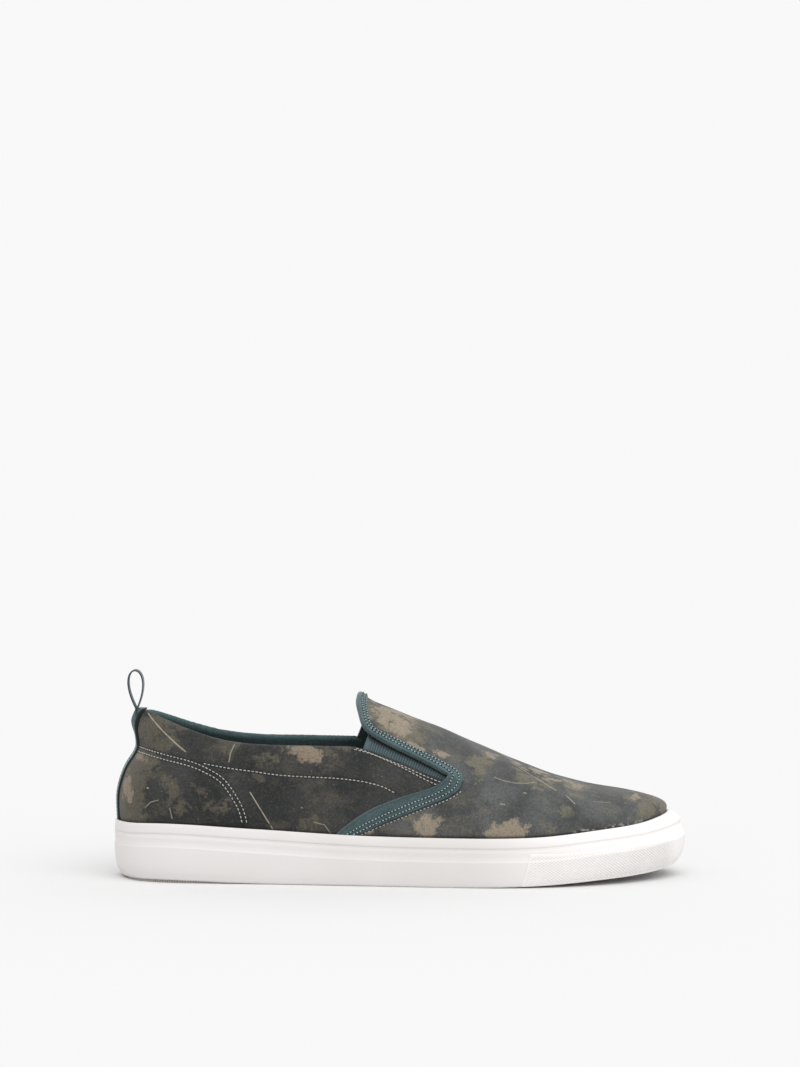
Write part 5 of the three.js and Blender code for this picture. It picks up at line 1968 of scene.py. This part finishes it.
@dataclass
class Tape:
    """One tape from the sole round the notch corner, folded over the tongue and down the other side."""

    low_steps: int = 120
    high_steps: int = 170

    ROWS_FROM_FRONT = ((2.9, 0.26), (6.2, 0.68))

    FOLDED = np.array(
        [(4.5, 0, -2.05), (2.4, 0, -2.1), (0.6, 0, -2.1)]
        + [
            (-1.1 * math.sin(math.radians(t)), 0, -0.5 - 1.6 * math.cos(math.radians(t)))
            for t in range(15, 166, 25)
        ]
        + [(0.3, 0, 1.12), (0, 0.2, 1.14), (0, 0.28, 1.08), (0, 0.34, 1.0), (0, 0.4, 1.08)]
        + [(0, 0.5, 1.12), (0, 0.66, 1.12), (-0.75, 1, 1.06), (-0.45, 1, 0.95)]
        + [(-0.1, 1, 0.7), (0.05, 1, 0.3), (0.1, 1, -0.2)]
    )
    FLAT = np.array(
        [(0.3, 0, -0.2), (0.1, 0, -0.2), (0, 0, -0.1), (-0.05, 0, 0), (-0.05, 0, 0.15)]
        + [(-0.05, 0, 0.3), (0, 0, 0.5), (0.08, 0, 0.7), (0.2, 0, 0.85), (0.4, 0, 0.95)]
        + [(0.7, 0, 1.02), (1.1, 0, 1.08), (1.6, 0, 1.1), (2.0, 0, 1.1), (2.5, 0, 1.12)]
        + [(0, 0.5, 1.12), (0, 0.72, 1.12), (-1.1, 1, 1.05), (-0.45, 1, 0.95)]
        + [(-0.1, 1, 0.7), (0.05, 1, 0.3), (0.1, 1, -0.2)]
    )

    def edges(self, side: Side) -> tuple[np.ndarray, np.ndarray, np.ndarray]:
        """Rear and front edges of the tape on one side as places on the last, with how far it is folded.

        Args:
            side: The shoe's side.

        Returns:
            Rear edge, front edge and share of the fold.
        """
        rear_low = resample(from_lip(side_line(TAPE_REAR, 80)), self.low_steps)
        rear_high = resample(to_ridge(OPENING.tongue), self.high_steps)
        front_low = resample(from_lip(side_line(TAPE_FRONT_LOW, 80)), self.low_steps)
        front_high = resample(to_ridge(side_line(TAPE_FRONT_HIGH, 160)), self.high_steps)
        rear = LAST.find(np.vstack([rear_low, rear_high]), side.value)
        front = LAST.find(np.vstack([front_low, front_high]), side.value)
        rear[-1, 1] = front[-1, 1] = LAST.ROWS - 1
        folded = ramp(self.low_steps - 4, self.low_steps + 8, np.arange(len(rear)).astype(float))
        return rear, front, folded

    def section(self, rear: np.ndarray, front: np.ndarray, folded: np.ndarray) -> np.ndarray:
        """Points of the tape: its section's reach from the rear edge and its height over the cloth.

        Args:
            rear: Places of the rear edge.
            front: Places of the front edge.
            folded: Share of the fold.

        Returns:
            The tape's points.
        """
        width = np.linalg.norm(LAST.off(front, 0.0) - LAST.off(rear, 0.0), axis=1)[:, None]
        shape = self.FLAT[None] * (1 - folded[:, None, None]) + self.FOLDED[None] * folded[:, None, None]
        share = (shape[..., 0] + shape[..., 1] * width) / width
        place = rear[:, None, :] * (1 - share[..., None]) + front[:, None, :] * share[..., None]
        place[..., 1] = np.minimum(place[..., 1], LAST.ROWS - 1)
        return LAST.off(place, shape[..., 2])

    def build(self, finishes: Finishes) -> bpy.types.Object:
        """Joins both sides at the ridge and sews its rows.

        Args:
            finishes: The shoe's finishes.

        Returns:
            The tape.
        """
        parts = []
        teal, pale = Stitching("tape_stitches"), Stitching("edge_stitches")
        for side in Side:
            rear, front, folded = self.edges(side)
            points = self.section(rear, front, folded)
            parts.append(points if side is Side.OUTER else points[::-1])
            self._sew(teal, pale, rear, front)
        parts[1] = parts[1][1:]
        points = np.concatenate(parts, axis=0)
        builder = Builder("tape")
        # Painted shade on the tape: a darker line along it that lies in the crease between the rows where it
        # is folded, the whole lower part darker, and the front edge darker where it tucks down to the cloth.
        crease = np.zeros(points.shape[:2])
        crease[:, 12] = 0.3
        low = np.r_[np.arange(self.low_steps), np.arange(len(points) - self.low_steps, len(points))]
        crease[low] += 0.3
        crease[:, -4:] += 0.5
        builder.grid(points[:, ::-1], 0, (False, True), seam=crease[:, ::-1])
        caps = np.arange(points.shape[1])
        for ring, order in ((points[0], caps), (points[-1], caps[::-1])):
            builder.add(ring, order[None], 0, seam=np.zeros(len(ring)))
        tape = placed(builder.finish([finishes.tape], merge=0.002), "tape_cloth", "tape")
        teal.finish([finishes.teal_thread, finishes.hole_shade], "tape_cloth")
        pale.finish([finishes.pale_thread, finishes.hole_shade], "upper_cloth")
        return tape

    def _sew(self, teal: Stitching, pale: Stitching, rear: np.ndarray, front: np.ndarray) -> None:
        """Two rows on the tape, and a pale row on the cloth beside its lower part.

        Each row of the tape is set by millimetres from the front edge in the lower part, and by a
        share of the width in the folded upper part.

        Args:
            teal: Rows on the tape.
            pale: Row on the cloth.
            rear: Places of the rear edge.
            front: Places of the front edge.
        """
        width = np.linalg.norm(LAST.off(front, 0.0) - LAST.off(rear, 0.0), axis=1)[:, None]
        high = ramp(self.low_steps - 12, self.low_steps + 12, np.arange(len(front)).astype(float))[:, None]
        for low_back, high_share in self.ROWS_FROM_FRONT:
            path = front + (rear - front) * (low_back / width * (1 - high) + high_share * high)
            teal.row(path, 1.34, 1.8, 1.05, 0.24)
            # Dark beads at the stitch ends: painted shade of the needle holes.
            teal.row(path, 1.2, 1.8, 0.9, 0.42, 1, phase=1.0)
        beside = (front + (front - rear) * 0.7 / width)[: self.low_steps - 6]
        pale.row(beside, 0.18, 2.0, 1.3, 0.24)
        # Dark beads at the stitch ends: painted shade of the needle holes.
        pale.row(beside, 0.02, 2.0, 0.6, 0.3, 1, phase=1.0)


@dataclass
class Gore:
    """Ribbed elastic that fills a side notch, behind the quarter's edge and under the tape."""

    side: Side
    columns: int = 420
    rows: int = 22
    rib_pitch: float = 1.3
    rib_height: float = 0.24
    thickness: float = 1.0
    tuck: float = 3.5

    def build(self, finishes: Finishes) -> bpy.types.Object:
        """Grid from the notch's edge to the tongue's edge; its ribs run across the gap between them.

        Args:
            finishes: The shoe's finishes.

        Returns:
            The elastic.
        """
        inner = self.side is Side.INNER
        notch = OPENING.notch[OPENING.notch[:, 0] > (122.0 if inner else 126.8)]
        low = resample(shifted_line(notch, -self.tuck), self.columns)
        tongue = OPENING.tongue[OPENING.tongue[:, 1] < (86.0 if inner else 78.0)]
        high = resample(shifted_line(tongue, -self.tuck)[::-1], self.columns)
        share = np.linspace(0, 1, self.rows)[None, :, None]
        flat = low[:, None] * (1 - share) + high[:, None] * share
        flat[..., 0] += 1.2 * np.sin(np.pi * share[..., 0]) * (1 - ramp(0, 8, flat[..., 0] - flat[0, 0, 0]))
        place = LAST.find(flat.reshape(-1, 2), self.side.value).reshape(self.columns, self.rows, 2)
        run = lengths_along((low + high) / 2)[:, None]
        plain = ramp(1.6, 2.6, run)
        wave = 0.5 + 0.5 * np.cos(run * 2 * np.pi / self.rib_pitch)
        height = -2.3 - 0.8 * share[..., 0] + self.rib_height * (wave * plain + 1 - plain)
        height = height + np.zeros((self.columns, self.rows))
        front = LAST.off(place, height)
        back = LAST.off(place, height - self.thickness)
        points = np.concatenate([front, back[:, ::-1]], axis=1)
        rib = np.broadcast_to(wave * plain + 0.7 * (1 - plain), height.shape)
        # The upper part of the elastic, under the tape, gets painted shade.
        shade = np.broadcast_to(ramp(0.52, 0.72, share[..., 0]), height.shape)
        blank = np.zeros(height.shape)
        tones = {"rib": np.concatenate([rib, blank], axis=1), "seam": np.concatenate([shade, blank], axis=1)}
        name = "gore_inner" if self.side is Side.INNER else "gore_outer"
        builder = Builder(name)
        flip = self.side is Side.INNER
        points, tones = (points[::-1], {k: v[::-1] for k, v in tones.items()}) if flip else (points, tones)
        builder.grid(points, 0, (False, True), **tones)
        ring = np.arange(points.shape[1])[None]
        for end, order in ((points[0], ring[:, ::-1]), (points[-1], ring)):
            builder.add(end, order, 0, rib=np.full(len(end), 0.7), seam=np.zeros(len(end)))
        return placed(builder.finish([finishes.elastic], merge=0.002), "gore_elastic", name)


@dataclass
class BackStay:
    """Strip over the heel's back join, raised at its top over the sewn end of the loop."""

    low_half: float = 7.2
    high_half: float = 4.4
    thickness: float = 0.8
    rows: int = 130
    columns: int = 41
    loop_thickness: float = 0.9
    dome: float = 3.0

    def build(self, finishes: Finishes) -> bpy.types.Object:
        """Grid up the heel and across the strip; its long edges are rounded down to the cloth.

        Args:
            finishes: The shoe's finishes.

        Returns:
            The strip.
        """
        top = COLLAR_EDGE.at("up", 0.03) * SHOE.upper_height
        spine = LAST.face[0, :, 2]
        low = float(np.interp(sole_at(0.0)["top"] + 0.3, spine, np.arange(LAST.ROWS)))
        high = float(np.interp(top, spine, np.arange(LAST.ROWS)))
        rows = np.linspace(low, high, self.rows)
        share = np.sin(np.linspace(-1, 1, self.columns) * np.pi / 2)
        near = np.arange(-40, 41)
        stations = np.empty((self.rows, self.columns))
        level = np.interp(rows, np.arange(LAST.ROWS), spine)
        half = self.low_half + (self.high_half - self.low_half) * ramp(58, 72, level)
        for k, row in enumerate(rows):
            line = LAST.sample(LAST.face, np.column_stack([near, np.full(len(near), row)]))
            order = np.argsort(line[:, 1])
            stations[k] = np.interp(share * half[k], line[order, 1], near[order])
        place = np.stack([stations, np.broadcast_to(rows[:, None], stations.shape)], axis=-1)
        z = LAST.sample(LAST.face, place)[..., 2]
        base = SHOE.gap + 0.6 * SHOE.counter_step
        lift = (2 * self.loop_thickness + SHOE.gap) * ramp(top - 14, top - 6, z)
        off_edge = (1 - np.abs(share))[None, :] * half[:, None]
        round_off = ramp(-0.3, 1.0, off_edge)
        drop = np.clip((top - z) / self.dome, 0, 1)
        end = np.sqrt(1 - (1 - drop) ** 2)
        outer = (base + self.thickness) * (0.12 + 0.88 * round_off)
        outer = outer + lift * (0.25 + 0.75 * ramp(0, 3.4, off_edge))
        outer = outer * end + 0.1
        hem = 0.14 * np.exp(-(((off_edge - 2.0) / 0.5) ** 2))
        face = LAST.off(place, outer - hem)
        back = LAST.off(place, np.full(outer.shape, -0.3))
        points = np.concatenate([face, back[:, ::-1]], axis=1)
        # Painted shade: near black along both long edges of the strip, where it meets the cloth, and a
        # little at its ends.
        dark = 0.97 * (1 - ramp(0.5, 0.95, off_edge))
        builder = Builder("back_stay")
        builder.grid(points, 0, (False, True), seam=np.concatenate([dark, dark[:, ::-1]], axis=1))
        ring = np.arange(points.shape[1])[None]
        for rim, order in ((points[0], ring[:, ::-1]), (points[-1], ring)):
            builder.add(rim, order, 0, seam=np.full(len(rim), 0.3))
        piece = builder.finish([finishes.tape], merge=0.002)
        rows_of = Stitching("stay_stitches")
        for y_share in (-0.7, 0.7):
            column = int(np.argmin(np.abs(share - y_share)))
            path = place[4:-6, column]
            keep = LAST.sample(LAST.face, path)[:, 2] < top - 16
            rows_of.row(path[keep], base + self.thickness + 0.08, 2.0, 1.3, 0.22)
        rows_of.finish([finishes.teal_thread], "tape_cloth")
        return placed(piece, "tape_cloth", "back_stay")


@dataclass
class PullLoop:
    """Ribbon bent to a drop over the heel, with its sewn tab under the stay."""

    thickness: float = 0.78
    band: float = 9.0
    height: float = 19.5
    width: float = 8.2
    tilt: float = 0.8
    steps: int = 60

    def build(self, root_x: float, finishes: Finishes) -> bpy.types.Object:
        """Sweeps a rounded flat section round the drop.

        The half width of the drop is the sine of the turn times the root of its rise, and the height is
        the rise of a cosine.

        Args:
            root_x: Where its sewn end lies.
            finishes: The shoe's finishes.

        Returns:
            The loop.
        """
        base = COLLAR_EDGE.at("up", 0.03) * SHOE.upper_height + SHOE.gap
        turn = np.linspace(0, np.pi, self.steps)
        up = (1 - np.cos(turn)) / 2
        half = 1.3 * np.sin(turn) * np.sqrt(up) * (self.width - self.thickness) / 2
        spread = half + 0.5 * self.thickness * (1 - up) ** 2
        level = base + up * (self.height - self.thickness / 2)
        right = np.column_stack([root_x - self.tilt * up + spread, level])
        left = np.column_stack([root_x - self.tilt * up - spread, right[:, 1]])
        low = np.array([[root_x + self.thickness / 2, base - 4.5], [root_x + self.thickness / 2, base - 2]])
        low_left = low - [self.thickness, 0]
        line = resample(np.vstack([low, right, left[::-1][1:], low_left[::-1]]), 180)
        run = unit(np.gradient(line, axis=0))
        out = np.column_stack([-run[:, 1], run[:, 0]])
        flat = np.linspace(-1, 1, 15)
        crown = np.sqrt(np.clip(1 - flat**8, 0, 1))
        ring_y = np.concatenate([flat, flat[::-1]]) * self.band / 2
        ring_o = np.concatenate([crown, -crown[::-1]]) * self.thickness / 2
        x = line[:, None, 0] + out[:, None, 0] * ring_o
        z = line[:, None, 1] + out[:, None, 1] * ring_o
        points = np.stack([x, np.broadcast_to(ring_y, x.shape), z], axis=-1)
        builder = Builder("pull_loop")
        specks = 0.5 + 0.5 * np.cos(np.arange(len(line)) * 2.1)[:, None] + np.zeros(x.shape)
        builder.grid(points[::-1], 0, (False, True), seam=0.5 * specks)
        ring = np.arange(points.shape[1])[None]
        for end, order in ((points[0], ring), (points[-1], ring[:, ::-1])):
            builder.add(end, order, 0, seam=np.zeros(len(end)))
        return placed(builder.finish([finishes.loop], merge=0.002), "loop_tape", "pull_loop")


class SeamRows:
    """The pale rows of thread on the cloth: collar pad, heel counter and notch edge."""

    def build(self, finishes: Finishes) -> bpy.types.Object:
        """Sews each row on both sides of the foot.

        Args:
            finishes: The shoe's finishes.

        Returns:
            The rows of stitches.
        """
        rows = Stitching("upper_stitches")
        relief = Upper().relief
        pad, first, second = Upper.seams()
        notch = OPENING.notch
        taper = np.linspace(0.3, 1, len(notch))[:, None]
        near_notch = shifted_line(notch, -1.9)
        far_notch = notch + (shifted_line(notch, -3.9) - notch) * taper
        for side in Side:
            lines = (pad[pad[:, 0] > 46], from_heel(first), from_heel(second), near_notch, far_notch[1:-1])
            for line in lines:
                path = LAST.find(resample(line, 90), side.value)
                points = LAST.sample(LAST.face, path)[:, None]
                edge = np.abs(OPENING.distance(points[..., ::2]))
                height = (relief(points) * ramp(0, 3, edge))[:, 0]
                rows.row(path, height + 0.26, 2.05, 1.45, 0.25)
                # Dark beads at the stitch ends: painted shade of the needle holes.
                rows.row(path, height + 0.12, 2.05, 0.6, 0.32, 1, phase=1.0)
        return rows.finish([finishes.pale_thread, finishes.hole_shade], "upper_cloth")


def from_heel(line: np.ndarray) -> np.ndarray:
    """A falling sewn line from beside the back stay down to just above the sole's lip."""
    over = line[:, 1] - sole_at(line[:, 0] / SHOE.length)["top"]
    return line[(line[:, 0] > 11) & (over > 0.6)]


@dataclass(frozen=True)
class Studio:
    """Plain pale floor, soft even light and the camera at the photograph's angle."""

    camera_place: tuple[float, float, float] = (-0.0002, -1.58972, 0.22113)
    look_down: float = 1.6746
    focal: float = 105.14
    sky: float = 0.945
    sun: float = 1.15
    sun_tilt: float = 34.0
    sun_turn: float = 28.0
    sun_spread: float = 60.0

    def build(self) -> None:
        """Makes camera, sky, sun and floor."""
        self._camera()
        self._light()
        self._floor()

    def _camera(self) -> None:
        """A long lens with its longer side upright, looking a little down along +Y."""
        lens = bpy.data.cameras.new("camera")
        lens.sensor_width = 36
        lens.lens = self.focal
        lens.clip_end = 50
        seen = bpy.data.objects.new("camera", lens)
        seen.location = self.camera_place
        seen.rotation_euler = (math.radians(90 - self.look_down), 0, 0)
        bpy.context.scene.collection.objects.link(seen)
        bpy.context.scene.camera = seen

    def _light(self) -> None:
        """An even white sky and one very soft sun from above, in front and to the right."""
        world = bpy.data.worlds.new("studio")
        world.use_nodes = True
        background = world.node_tree.nodes["Background"]
        background.inputs["Color"].default_value = (self.sky, self.sky, self.sky, 1)
        background.inputs["Strength"].default_value = 1
        bpy.context.scene.world = world
        light = bpy.data.lights.new("sun", "SUN")
        light.energy = self.sun
        light.angle = math.radians(self.sun_spread)
        lamp = bpy.data.objects.new("sun", light)
        lamp.rotation_euler = (math.radians(self.sun_tilt), 0, math.radians(self.sun_turn))
        bpy.context.scene.collection.objects.link(lamp)
        bpy.context.scene.view_settings.view_transform = "Standard"

    def _floor(self) -> None:
        """A wide flat floor whose paleness, under sky and sun together, is that of the sky."""
        lit = self.sky + self.sun * math.cos(math.radians(self.sun_tilt)) / math.pi
        pale = self.sky / lit
        material = bpy.data.materials.new("floor_paper")
        material.use_nodes = True
        tree = material.node_tree
        tree.nodes.clear()
        paper = tree.nodes.new("ShaderNodeBsdfDiffuse")
        paper.inputs["Color"].default_value = (pale, pale, pale, 1)
        output = tree.nodes.new("ShaderNodeOutputMaterial")
        tree.links.new(paper.outputs["BSDF"], output.inputs["Surface"])
        mesh = bpy.data.meshes.new("floor")
        reach = 30.0
        corners = [(-reach, -reach, 0), (reach, -reach, 0), (reach, reach, 0), (-reach, reach, 0)]
        mesh.from_pydata(corners, [], [(0, 1, 2, 3)])
        mesh.materials.append(material)
        floor = bpy.data.objects.new("floor", mesh)
        bpy.context.scene.collection.objects.link(floor)


def main() -> None:
    """Builds the shoe's pieces in order over the frame and reports each one."""
    logging.basicConfig(level=logging.INFO, format="%(name)s: %(message)s")
    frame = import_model()
    BODY.name = next(iter(frame["bodies"]))
    low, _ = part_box("sole")
    WELD.fit(tuple(low))
    Studio().build()
    finishes = Finishes()
    sole = Sole()
    sole.build(finishes)
    Bumper().build(sole, finishes)
    Insole().build(finishes)
    Upper().build(finishes)
    Tape().build(finishes)
    for side in Side:
        Gore(side).build(finishes)
    BackStay().build(finishes)
    _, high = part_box("pull_loop")
    loop = PullLoop()
    root_x = high[0] / MM - WELD.shift[0] - loop.width / 2 - 0.5
    loop.build(root_x, finishes)
    SeamRows().build(finishes)


if __name__ == "__main__":
    main()
